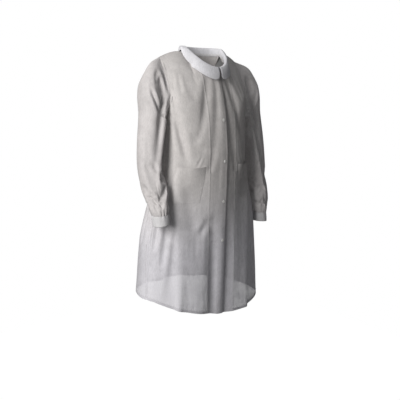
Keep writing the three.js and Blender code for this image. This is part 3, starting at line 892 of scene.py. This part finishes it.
def pocket(name, side):
    across = down = np.linspace(0, 1, POCKET_GRID)
    u = side * (POCKET_U[0] + (POCKET_U[1] - POCKET_U[0]) * across)
    top = np.array([v_at(FRONT, x, POCKET_TOP_Z) for x in u])
    bottom = np.array([v_at(FRONT, x, POCKET_BOTTOM_Z) for x in u])
    v = top[:, None] + (bottom - top)[:, None] * down[None]
    bulge = np.sin(np.pi * across)[:, None] ** 0.7 * (1 - down)[None] ** 1.3
    slack = 0.5 + 0.5 * np.sin(across * 7 + side)[:, None]
    lift = 0.0012 + (MOUTH_SAG + MOUTH_SLACK * slack) * bulge
    grid = surface(FRONT, FRONT_OUT, np.broadcast_to(u[:, None], v.shape), v, lift)
    piece = cloth_piece(f"{name}_pocket_patch", grid, CLOTH, flip=side < 0)
    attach(piece, "coat_body")
    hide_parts(f"{name}_pocket")
    mouth_rows = down <= MOUTH_FOLD / (POCKET_TOP_Z - POCKET_BOTTOM_Z)
    inner = surface(FRONT, FRONT_OUT, np.broadcast_to(u[:, None], v.shape), v, lift - 0.0007)
    mouth = cloth_piece(f"{name}_pocket_mouth", inner[:, : mouth_rows.sum() + 1], DOUBLE_CLOTH,
                        flip=side < 0)
    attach(mouth, "coat_body")
    return piece, mouth


pockets = {name: pocket(name, side) for name, side in SIDES.items()}
print("pocket cloth:", round(area_of(pockets["right"][0]), 4), "m2")

# %% [markdown]
# ## Sleeves and cuffs
# A sleeve is one tube of cloth, parted here at the elbow. Near the cuff its width is gathered: the
# spare cloth stands in small pleats, deep at the cuff and gone a hand's width above it. The cuff is
# a short folded band.

# %% Sleeves
ELBOW_Z = -0.42
GATHER = 0.07
PLEATS = 11


def gathered(name, grid, shoulder_side):
    """Adds the pleats above the cuff, with uneven spacing and depth."""
    turns = len(grid)
    ring_middle = grid.mean(axis=0, keepdims=True)
    away = grid - ring_middle
    away /= np.maximum(np.linalg.norm(away, axis=-1, keepdims=True), 1e-9)
    step = np.linalg.norm(np.diff(ring_middle[0], axis=0), axis=-1)
    left_over = np.concatenate([np.cumsum(step[::-1])[::-1], [0]])
    near = np.clip(1 - left_over / GATHER, 0, 1) ** 1.8
    angle = np.linspace(0, 2 * np.pi, turns, endpoint=False)
    wander = 0.5 * np.sin(2 * angle + shoulder_side) + 0.35 * np.sin(3 * angle + 2)
    depth = 0.0010 + 0.0006 * np.sin(2 * angle + 1.3 * shoulder_side)
    fold = (np.sin(PLEATS * angle + wander * 2) * depth)[:, None] * near[None]
    soft = np.clip(1 - left_over / (2.2 * GATHER), 0, 1) ** 1.2
    sag = 0.0026 * np.sin(5 * angle + shoulder_side)[:, None] * (soft * (1 - near))[None]
    return grid + away * (fold + sag)[..., None]


SLEEVE_PIECES = {}
for name, side in SIDES.items():
    tube = gathered(name, SLEEVE[name], side)
    heights = tube[..., 2].mean(axis=0)
    split = int(np.argmin(np.abs(heights - ELBOW_Z)))
    upper = cloth_piece(f"{name}_upper_sleeve_cloth", tube[:, : split + 1], SLEEVE_CLOTH,
                        ring_shape=True, flip=side > 0)
    Vector((side * 0.206, 0, -0.1))
    Vector((side * 0.232, 0, -0.1))
    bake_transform(upper)
    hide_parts(f"{name}_upper_sleeve")
    lower = cloth_piece(f"{name}_lower_sleeve_cloth", tube[:, split:], SLEEVE_CLOTH,
                        ring_shape=True, flip=side > 0)
    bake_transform(lower)
    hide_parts(f"{name}_lower_sleeve")
    SLEEVE_PIECES[name] = (upper, lower)
    print(name, "sleeve:", round(area_of(upper) + area_of(lower), 4), "m2")

# %% Cuffs
CUFF_LENGTH = 0.042
CUFF_TURNS = 96


def cuff_grid(name, side, inset):
    """The cuff's tube: straight, with soft puckers where the sleeve is gathered into it."""
    *_, before, last = FOREARM_RINGS[name]
    drop = last[2] - before[2]
    turn = np.arange(CUFF_TURNS) / CUFF_TURNS
    rows = []
    for step in np.linspace(0, 1, 13):
        distance = 0.6 + step * CUFF_LENGTH * 1000
        out = last[0] - 0.5 * (last[0] - before[0]) * distance / drop
        y = last[1] - 0.5 * (last[1] - before[1]) * distance / drop
        bow = 1.2 * math.sin(math.pi * step)
        pucker = 0.9 * (1 - step) ** 2 * np.sin(PLEATS * 2 * np.pi * turn + side)
        wide = last[3] + bow + pucker - inset
        deep = last[4] + bow + pucker - inset
        rows.append(ring(side, (out, y, last[2] - distance, wide, deep, last[5]), turn))
    return np.array(rows).transpose(1, 0, 2)


for name, side in SIDES.items():
    outer = cuff_grid(name, side, 0)
    inner = cuff_grid(name, side, 0.9)
    grid = np.concatenate([outer, inner[:, ::-1]], axis=1)
    cuff = cloth_piece(f"{name}_cuff_band", grid, DOUBLE_CLOTH, ring_shape=True, flip=side > 0)
    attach(cuff, f"{name}_forearm")
    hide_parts(f"{name}_cuff")
    print(name, "cuff:", round(area_of(cuff), 4), "m2")

# %% [markdown]
# ## The collar
# The collar stands up inside the neck, rolls over, and its leaf falls on the shoulders. It is two
# layers of cloth turned out and pressed, so it is fuller than the panels. It is cut at the nape
# into two halves.

# %% Collar halves
STAND_BACK, STAND_FRONT = 0.034, 0.017
LEAF_SHOULDER, LEAF_FRONT, LEAF_BACK = 0.505, 0.058, 0.05
LEAF_LIFT = 0.008
COLLAR_LAYER = 0.0009
TIP_ROUND = 0.016
COLLAR_ROWS = np.array([0, 0.3, 0.42, 0.7, 1])
UP = np.array([0, 0, 1.0])


def neck_point(side, w):
    """w is 0 at the throat, 1 at the shoulder seam and 2 at the nape."""
    share = np.where(w <= 1, w, 2 - w) * NECK_SHARE * side
    v = np.zeros_like(w)
    front = surface(FRONT, FRONT_OUT, share, v, v)
    behind = surface(BACK, BACK_OUT, share, v, v)
    return np.where((w <= 1)[:, None], front, behind)


def collar_grid(side, w_values, t_values):
    w = np.asarray(w_values, float)
    neck = neck_point(side, w)
    centre = np.stack([0 * w, np.full_like(w, NECK_Y * MM), neck[:, 2]], -1)
    out = neck - centre
    out /= np.linalg.norm(out, axis=-1, keepdims=True)
    rise = STAND_FRONT + (STAND_BACK - STAND_FRONT) * smooth(0, 1.4, w)
    share = np.where(w <= 1, w, 2 - w) * np.pi / 2
    u = side * LEAF_SHOULDER * np.sin(share) ** 1.2
    v = np.where(w <= 1, LEAF_FRONT, LEAF_BACK) * np.clip(np.cos(share), 0, 1) ** 0.8
    front_out, back_out = grid_normals(SMOOTH_FRONT), -grid_normals(SMOOTH_BACK)
    on_front = surface(SMOOTH_FRONT, front_out, u, v, np.zeros_like(w))
    on_back = surface(SMOOTH_BACK, back_out, u, v, np.zeros_like(w))
    normal_front = surface(SMOOTH_FRONT, front_out, u, v, np.ones_like(w)) - on_front
    normal_back = surface(SMOOTH_BACK, back_out, u, v, np.ones_like(w)) - on_back
    leaf = np.where((w <= 1)[:, None], on_front, on_back)
    away = np.where((w <= 1)[:, None], normal_front, normal_back)
    away = away + UP * (1 - smooth(0.0, 0.02, v))[:, None] * 2
    away /= np.linalg.norm(away, axis=-1, keepdims=True)
    wave = 0.0025 * np.sin(3.1 * w + side)
    leaf = leaf + away * (LEAF_LIFT + wave)[:, None]
    foot = neck + UP * 0.0004
    roll = neck + UP * rise[:, None] + out * 0.004
    over = roll + out * 0.009 - UP * 0.001
    half = (over + leaf) / 2 + out * 0.003 + UP * 0.004
    keys = np.array([foot, roll, over, half, leaf])
    reach = np.linalg.norm(leaf - over, axis=-1)
    distance = np.abs(neck[:, 0] - neck[0, 0])
    corner = np.clip(TIP_ROUND - distance, 0, TIP_ROUND) * (w < 1)
    short = TIP_ROUND - np.sqrt(TIP_ROUND**2 - corner**2)
    limit = 1 - 0.58 * short / np.maximum(reach, 0.02)
    grid = []
    for k in range(len(w)):
        grid.append(through(keys[:, k : k + 1], COLLAR_ROWS, np.asarray(t_values) * limit[k])[:, 0])
    return np.array(grid)


def throat_start(side, x):
    """w where the neckline is x away from the centre."""
    w = np.linspace(0, 1, 200)
    return float(np.interp(x, np.abs(neck_point(side, w)[:, 0]), w))


def blend_collar(piece, name, side):
    """Bakes the piece's placement into its points."""
    start = Vector((side * 0.090, -0.045, 0))
    end = Vector((side * 0.060, -0.085, 0))
    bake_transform(piece)


def collar_half(name, side, start_x):
    start = throat_start(side, abs(start_x)) * (1 if start_x >= 0 else -1)
    w = start + (2 - start) * np.linspace(0, 1, 97) ** 1.15
    t = np.linspace(0, 1, 41)
    outer = collar_grid(side, w, t)
    normal = grid_normals(outer)
    if side > 0:
        normal = -normal
    inner = outer + normal * COLLAR_LAYER
    grid = np.concatenate([outer, inner[:, ::-1]], axis=1)
    piece = cloth_piece(f"{name}_collar_half", grid, COLLAR_CLOTH, flip=side < 0)
    blend_collar(piece, name, side)
    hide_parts(f"collar_{name}_end", *(["collar_back"] if side < 0 else []))
    return piece, outer


COLLAR = {
    "right": collar_half("right", -1, 0.001),
    "left": collar_half("left", 1, 0.006),
}
print("collar:", [round(area_of(half[0]), 4) for half in COLLAR.values()], "m2, two layers")


# %% Neck band
BAND_HEIGHT = 0.010


def neck_band(name, side, start_x):
    w = np.linspace(throat_start(side, start_x), 2, 61)
    neck = neck_point(side, w)
    centre = np.array([0, NECK_Y * MM, 0])
    out = neck - centre
    out[:, 2] = 0
    out /= np.linalg.norm(out, axis=-1, keepdims=True)
    rows = []
    for t in np.linspace(0, 1, 5):
        rows.append(neck - out * (0.0022 + 0.0006 * math.sin(math.pi * t)) + UP * (0.001 + BAND_HEIGHT * t))
    grid = np.array(rows).transpose(1, 0, 2)
    piece = cloth_piece(f"{name}_neck_band", grid, DOUBLE_CLOTH, flip=side < 0)
    blend_collar(piece, name, side)
    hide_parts(f"neck_band_{name}_end", *(["neck_band_back"] if side < 0 else []))
    return piece


neck_band("right", -1, 0.003)
neck_band("left", 1, 0.012)

# %% [markdown]
# ## Sewn edges inside
# Two panels are sewn with their edges turned in. Those edges are two layers thick, and they show
# through the thin cloth as darker lines along the side, the shoulder and round the armhole.

# %% Seam edges
SEAM_ALLOWANCE = 0.009
SEAM_LIFT = 0.0009


def edge_strip(name, line, inner, out, ring_shape=False, flip=False):
    """A strip along line, turned in towards inner and lying just inside the cloth."""
    away = inner - line
    away /= np.maximum(np.linalg.norm(away, axis=-1, keepdims=True), 1e-9)
    rows = [line + away * SEAM_ALLOWANCE * t - out * SEAM_LIFT for t in np.linspace(0, 1, 4)]
    grid = np.array(rows).transpose(1, 0, 2)
    piece = cloth_piece(name, grid, SEAM_CLOTH, ring_shape=ring_shape, flip=flip)
    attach(piece, "coat_body")
    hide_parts(name.removesuffix("_edge"))
    return piece


for name, side in SIDES.items():
    column, next_column = (0, 1) if side < 0 else (-1, -2)
    below = slice(UNDERARM, None)
    edge_strip(f"{name}_side_seam_edge", BACK[column, below], BACK[next_column, below],
                            BACK_OUT[column, below], flip=side > 0)
    loop, inner_loop, out_loop = (
        np.concatenate([front[: UNDERARM + 1], behind[1:UNDERARM][::-1]])
        for front, behind in ((FRONT[column], BACK[column]), (FRONT[next_column], BACK[next_column]),
                              (FRONT_OUT[column], BACK_OUT[column]))
    )
    edge_strip(f"{name}_armhole_seam_edge", loop, inner_loop, out_loop, ring_shape=True,
                            flip=side < 0)
    over = np.abs(U) >= NECK_SHARE + 0.02
    over &= np.sign(U) == side
    edge_strip(f"{name}_shoulder_seam_edge", BACK[over, 0], BACK[over, 1],
                            BACK_OUT[over, 0])

# %% [markdown]
# ## Stitches
# A lockstitch shows as a row of short thread dashes. One Geometry Nodes group sets a dash on every
# few millimetres of a line and turns it along the line. The lines lie on the cloth's outer face.

# %% Stitch group
STITCH_PITCH = 0.0036
STITCH_LENGTH = 0.0026
THREAD_RADIUS = 0.00028


def stitch_group():
    group = bpy.data.node_groups.new("stitch_row", "GeometryNodeTree")
    face = group.interface
    face.new_socket(name="Line", in_out="INPUT", socket_type="NodeSocketGeometry")
    for label in ("Pitch", "Length", "Radius"):
        face.new_socket(name=label, in_out="INPUT", socket_type="NodeSocketFloat")
    face.new_socket(name="Thread", in_out="INPUT", socket_type="NodeSocketMaterial")
    face.new_socket(name="Geometry", in_out="OUTPUT", socket_type="NodeSocketGeometry")
    add, link = group.nodes.new, group.links.new
    entry, leave = add("NodeGroupInput"), add("NodeGroupOutput")
    curve, resample = add("GeometryNodeMeshToCurve"), add("GeometryNodeResampleCurve")
    if "Mode" in resample.inputs:
        resample.inputs["Mode"].default_value = "Length"
    else:
        resample.mode = "LENGTH"
    turn = add("FunctionNodeAlignRotationToVector")
    dash = add("GeometryNodeMeshCylinder")
    dash.inputs["Vertices"].default_value = 6
    place = add("GeometryNodeInstanceOnPoints")
    points_node = add("GeometryNodeCurveToPoints")
    points_node.mode = "EVALUATED"
    real, paint = add("GeometryNodeRealizeInstances"), add("GeometryNodeSetMaterial")
    link(entry.outputs["Line"], curve.inputs["Mesh"])
    link(curve.outputs["Curve"], resample.inputs["Curve"])
    link(entry.outputs["Pitch"], resample.inputs["Length"])
    link(resample.outputs["Curve"], points_node.inputs["Curve"])
    link(entry.outputs["Radius"], dash.inputs["Radius"])
    link(entry.outputs["Length"], dash.inputs["Depth"])
    link(points_node.outputs["Tangent"], turn.inputs["Vector"])
    link(points_node.outputs["Points"], place.inputs["Points"])
    link(dash.outputs["Mesh"], place.inputs["Instance"])
    link(turn.outputs["Rotation"], place.inputs["Rotation"])
    link(place.outputs["Instances"], real.inputs["Geometry"])
    link(real.outputs["Geometry"], paint.inputs["Geometry"])
    link(entry.outputs["Thread"], paint.inputs["Material"])
    link(paint.outputs["Geometry"], leave.inputs["Geometry"])
    return group


STITCH_ROW = stitch_group()


def stitches(name, lines):
    """Thread dashes along several polylines, as one mesh."""
    verts, edges = [], []
    for line in lines:
        first = len(verts)
        verts.extend(tuple(p) for p in line)
        edges.extend((first + k, first + k + 1) for k in range(len(line) - 1))
    mesh = bpy.data.meshes.new(name)
    mesh.from_pydata(verts, edges, [])
    piece = bpy.data.objects.new(name, mesh)
    bpy.context.scene.collection.objects.link(piece)
    modifier = piece.modifiers.new("stitches", "NODES")
    modifier.node_group = STITCH_ROW
    sockets = {item.name: item.identifier for item in STITCH_ROW.interface.items_tree
               if item.in_out == "INPUT"}
    modifier[sockets["Pitch"]] = STITCH_PITCH
    modifier[sockets["Length"]] = STITCH_LENGTH
    modifier[sockets["Radius"]] = THREAD_RADIUS
    modifier[sockets["Thread"]] = THREAD
    evaluated = piece.evaluated_get(bpy.context.evaluated_depsgraph_get())
    made = bpy.data.meshes.new_from_object(evaluated)
    piece.modifiers.clear()
    piece.data = made
    return piece


def line_on(face_grid, out, u, v, lift=0.0005):
    return surface(face_grid, out, np.asarray(u, float), np.asarray(v, float), np.full(len(u), lift))


def clip_x(line, low, high):
    keep = (line[:, 0] >= low) & (line[:, 0] <= high)
    return line[keep]


def x_line(face_grid, x, v, lift=0.0005):
    """Down the panel at a constant x."""
    u = [float(np.interp(x, face_grid[:, np.argmin(np.abs(V - w)), 0], U)) for w in v]
    return line_on(face_grid, FRONT_OUT, u, v, lift)


fine_v = np.linspace(0.012, 0.995, 240)
hem_v = np.full(160, 1 - 0.0135)
right_lines = [
    x_line(FRONT, -FACING_HALF + 0.003, fine_v),
    clip_x(line_on(FRONT, FRONT_OUT, np.linspace(-0.995, 0.12, 160), hem_v), -1, LAP - 0.002),
]
left_lines = [
    x_line(left_front_grid, FACING_HALF - 0.003, fine_v),
    clip_x(line_on(left_front_grid, FRONT_OUT, np.linspace(-0.12, 0.995, 160), hem_v),
           -UNDER_LAP + 0.002, 1),
]
for side, name, lines in ((-1, "right", right_lines), (1, "left", left_lines)):
    row = stitches(f"{name}_front_stitches", lines)
    blend_front(row, side)


def pocket_line(name, side):
    across = np.linspace(0, 1, 40)
    u0, u1 = (POCKET_U[0] + 0.008) * side, (POCKET_U[1] - 0.008) * side
    z0, z1 = POCKET_TOP_Z - 0.001, POCKET_BOTTOM_Z + 0.004
    down_u = np.full(40, u0)
    down_v = [v_at(FRONT, u0, z) for z in np.linspace(z0, z1, 40)]
    bottom_u = u0 + (u1 - u0) * across
    bottom_v = [v_at(FRONT, u, z1) for u in bottom_u]
    up_v = [v_at(FRONT, u1, z) for z in np.linspace(z1, z0, 40)]
    lift = 0.0018
    parts = [line_on(FRONT, FRONT_OUT, down_u, down_v, lift),
             line_on(FRONT, FRONT_OUT, bottom_u, bottom_v, lift),
             line_on(FRONT, FRONT_OUT, np.full(40, u1), up_v, lift)]
    return parts


body_lines = []
for name, side in SIDES.items():
    body_lines += pocket_line(name, side)
    body_lines.append(line_on(BACK, BACK_OUT, np.full(200, side * 0.985), np.linspace(0.27, 0.99, 200)))
body_lines.append(line_on(BACK, BACK_OUT, np.linspace(-0.995, 0.995, 200), np.full(200, 1 - 0.0135)))
body_stitches = stitches("body_stitches", body_lines)
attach(body_stitches, "coat_body")

for name, side in SIDES.items():
    tube = cuff_grid(name, side, -0.4)
    loops = [np.concatenate([tube[:, k], tube[:1, k]]) for k in (1, 11)]
    row = stitches(f"{name}_cuff_stitches", loops)
    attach(row, f"{name}_forearm")
    _, outer = COLLAR[name]
    line = outer[1:-1, -3] + (UP * 0.0006)
    row = stitches(f"{name}_collar_stitches", [line])
    blend_collar(row, name, side)

# %% [markdown]
# ## Snaps
# Each closing snap is four moulded pieces: a cap and a socket clamp the right front, and a stud and
# a back clamp the left one. They are turned shapes, so each is a profile spun round its axis.

# %% Turned snap pieces
SNAP_COUNT = 5
SNAP_TOP_Z, SNAP_PITCH = -0.096, 0.169
SNAP_SEGMENTS = 40
SNAP_PROFILES = {
    "right_snap_cap": [(0, 1.15), (2.4, 1.15), (2.9, 1.35), (3.4, 1.7), (4.2, 1.72), (5.3, 1.5), (6.1, 1.0),
                       (6.5, 0.5), (6.5, 0.2), (6.2, 0), (0, 0)],
    "right_snap_socket": [(0, -2.3), (2.4, -2.3), (2.5, -3.4), (3.2, -3.5), (3.9, -3.3), (4.4, -2.9),
                          (5.6, -2.8), (6.0, -2.5), (6.0, -2.1), (0, -2.05)],
    "left_snap_stud": [(0, -2.9), (1.4, -2.9), (1.9, -3.2), (1.8, -3.7), (2.1, -4.1), (5.4, -4.2),
                       (6.0, -4.5), (6.0, -4.8), (0, -4.85)],
    "left_snap_back": [(0, -7.2), (6.3, -7.2), (6.5, -7.5), (6.4, -7.9), (5.6, -8.3), (3.4, -8.5),
                       (2.8, -8.2), (0, -8.2)],
}


def turned(name, profile, centre, axis):
    """A profile of (radius, height) in mm, spun round an axis through centre."""
    axis = Vector(axis).normalized()
    side_way = axis.cross(Vector((0, 0, 1))).normalized()
    other = axis.cross(side_way)
    verts, faces = [], []
    rings_made = []
    for radius, height in profile:
        base = Vector(centre) + axis * height * MM
        if radius == 0:
            rings_made.append([len(verts)] * SNAP_SEGMENTS)
            verts.append(tuple(base))
            continue
        first = len(verts)
        for k in range(SNAP_SEGMENTS):
            angle = 2 * math.pi * k / SNAP_SEGMENTS
            verts.append(tuple(base + (side_way * math.cos(angle) + other * math.sin(angle)) * radius * MM))
        rings_made.append(list(range(first, first + SNAP_SEGMENTS)))
    for upper_ring, lower_ring in zip(rings_made, rings_made[1:]):
        for k in range(SNAP_SEGMENTS):
            n = (k + 1) % SNAP_SEGMENTS
            face = list(dict.fromkeys((upper_ring[k], lower_ring[k], lower_ring[n], upper_ring[n])))
            if len(face) > 2:
                faces.append(face)
    piece = new_object(name, verts, faces)
    work = bmesh.new()
    work.from_mesh(piece.data)
    bmesh.ops.recalc_face_normals(work, faces=work.faces[:])
    work.to_mesh(piece.data)
    work.free()
    piece.data.materials.append(SNAP_PLASTIC)
    return piece


for number in range(1, SNAP_COUNT + 1):
    height = SNAP_TOP_Z - (number - 1) * SNAP_PITCH
    v = v_at(FRONT, 0.0, height)
    at = line_on(FRONT, FRONT_OUT, [0.0], [v], 0.0)[0]
    tip = line_on(FRONT, FRONT_OUT, [0.0], [v], 1.0)[0]
    for node, profile in SNAP_PROFILES.items():
        piece = turned(f"{node}_{number}_turned", profile, at, tip - at)
        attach(piece, "right_front" if node.startswith("right") else "left_front")
        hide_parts(f"{node}_{number}")
print("snaps:", SNAP_COUNT, "of", len(SNAP_PROFILES), "pieces")

# %% [markdown]
# ## How each sheet was cut
# This table lists the size each cloth piece has when it lies flat. No cutting pattern was at hand,
# so the areas are the areas of the dressed pieces, rounded, and the widths and lengths are chosen to
# fit those pieces. They say nothing that the dressed pieces don't say already.
# The collar and the cuffs are folded, so their flat size counts both layers.

# %% Flat sizes
CUT_SIZES = {
    "back_panel_cloth": (0.93, 1.10, 0.70, "hung"),
    "right_front_cloth": (0.43, 1.12, 0.34, "hung"),
    "left_front_cloth": (0.42, 1.15, 0.35, "hung"),
    "right_facing_strip": (0.09, 1.08, 0.095, "folded"),
    "left_facing_strip": (0.084, 1.08, 0.089, "folded"),
    "right_pocket_patch": (0.128, 0.150, 0.019, "hung"),
    "left_pocket_patch": (0.130, 0.150, 0.019, "hung"),
    "right_upper_sleeve_cloth": (0.43, 0.31, 0.118, "hung"),
    "left_upper_sleeve_cloth": (0.46, 0.32, 0.132, "hung"),
    "right_lower_sleeve_cloth": (0.31, 0.24, 0.066, "gathered"),
    "left_lower_sleeve_cloth": (0.32, 0.30, 0.086, "gathered"),
    "right_cuff_band": (0.217, 0.086, 0.0186, "folded"),
    "left_cuff_band": (0.209, 0.086, 0.0179, "folded"),
    "right_collar_half": (0.355, 0.19, 0.066, "folded"),
    "left_collar_half": (0.350, 0.19, 0.065, "folded"),
    "right_neck_band": (0.28, 0.010, 0.0027, "folded"),
    "left_neck_band": (0.27, 0.010, 0.0026, "folded"),
}
HANGS_FROM = {
    "facing_strip": "front_cloth",
    "pocket_patch": "front_cloth",
    "upper_sleeve_cloth": "armhole_seam_edge",
    "lower_sleeve_cloth": "upper_sleeve_cloth",
    "cuff_band": "lower_sleeve_cloth",
    "collar_half": "neck_band",
    "neck_band": "front_cloth",
    "front_cloth": "shoulder_seam_edge",
}
for name, (width, length, area, held) in CUT_SIZES.items():
    side, _, kind = name.partition("_")
    support = [f"{side}_{HANGS_FROM[kind]}"] if kind in HANGS_FROM else [
        f"{edge}_shoulder_seam_edge" for edge in SIDES]

# %% [markdown]
# ## The studio
# The key light is a large soft panel on the wearer's right, with a weak fill and a soft top light.
# The background is plain white, and so is the floor, which lies well below the hem. The floor sends
# no light to the coat, so that the folds keep their shade.

# %% Lights, camera and floor
CAMERA_AT = Vector((-1.478, -1.762, -0.2))
CAMERA_AIM = Vector((0, 0, -0.618))


def area_light(name, place, aim, size, power, tint=(1, 1, 1)):
    lamp = bpy.data.lights.new(name, "AREA")
    lamp.shape = "RECTANGLE"
    lamp.size, lamp.size_y = size
    lamp.energy = power
    lamp.color = tint
    holder = bpy.data.objects.new(name, lamp)
    bpy.context.scene.collection.objects.link(holder)
    holder.location = place
    holder.rotation_euler = (Vector(aim) - Vector(place)).to_track_quat("-Z", "Y").to_euler()
    return holder


area_light("key", (-2.6, -0.78, 0.4), (0, 0, -0.55), (1.1, 1.9), 82, (1, 0.985, 0.965))
area_light("fill", (0.6, -2.6, 0.0), (0, 0, -0.6), (2.0, 2.0), 2, (0.95, 0.96, 1))
area_light("top", (-0.2, 0.5, 1.9), (0, 0, -0.3), (1.2, 1.2), 12)

lens_data = bpy.data.cameras.new("camera")
lens_data.lens = 47.6
camera = bpy.data.objects.new("camera", lens_data)
bpy.context.scene.collection.objects.link(camera)
camera.location = CAMERA_AT
camera.rotation_euler = (CAMERA_AIM - CAMERA_AT).to_track_quat("-Z", "Y").to_euler()
bpy.context.scene.camera = camera

FLOOR_HALF, FLOOR_Z = 1.6, -1.7
corners = [(x * FLOOR_HALF, y * FLOOR_HALF, FLOOR_Z) for x, y in ((-1, -1), (1, -1), (1, 1), (-1, 1))]
floor = new_object("floor", corners, [(0, 1, 2, 3)])
pale = Finish("floor_white", Roughness=0.9)
pale.shader.inputs["Base Color"].default_value = (0, 0, 0, 1)
pale.shader.inputs["Emission Color"].default_value = (1, 1, 1, 1)
pale.shader.inputs["Emission Strength"].default_value = 1.0
floor.data.materials.append(pale.material)
floor.visible_diffuse = False
floor.visible_glossy = False
floor.visible_transmission = False

world = bpy.data.worlds.new("studio")
world.use_nodes = True
world.node_tree.nodes["Background"].inputs["Color"].default_value = (1, 1, 1, 1)
backing = world.node_tree.nodes["Background"]
sight = world.node_tree.nodes.new("ShaderNodeLightPath")
level = world.node_tree.nodes.new("ShaderNodeMapRange")
level.inputs["To Min"].default_value = 0.10
level.inputs["To Max"].default_value = 1.0
world.node_tree.links.new(sight.outputs["Is Camera Ray"], level.inputs["Value"])
world.node_tree.links.new(level.outputs["Result"], backing.inputs["Strength"])
bpy.context.scene.world = world
bpy.context.scene.view_settings.view_transform = "Standard"
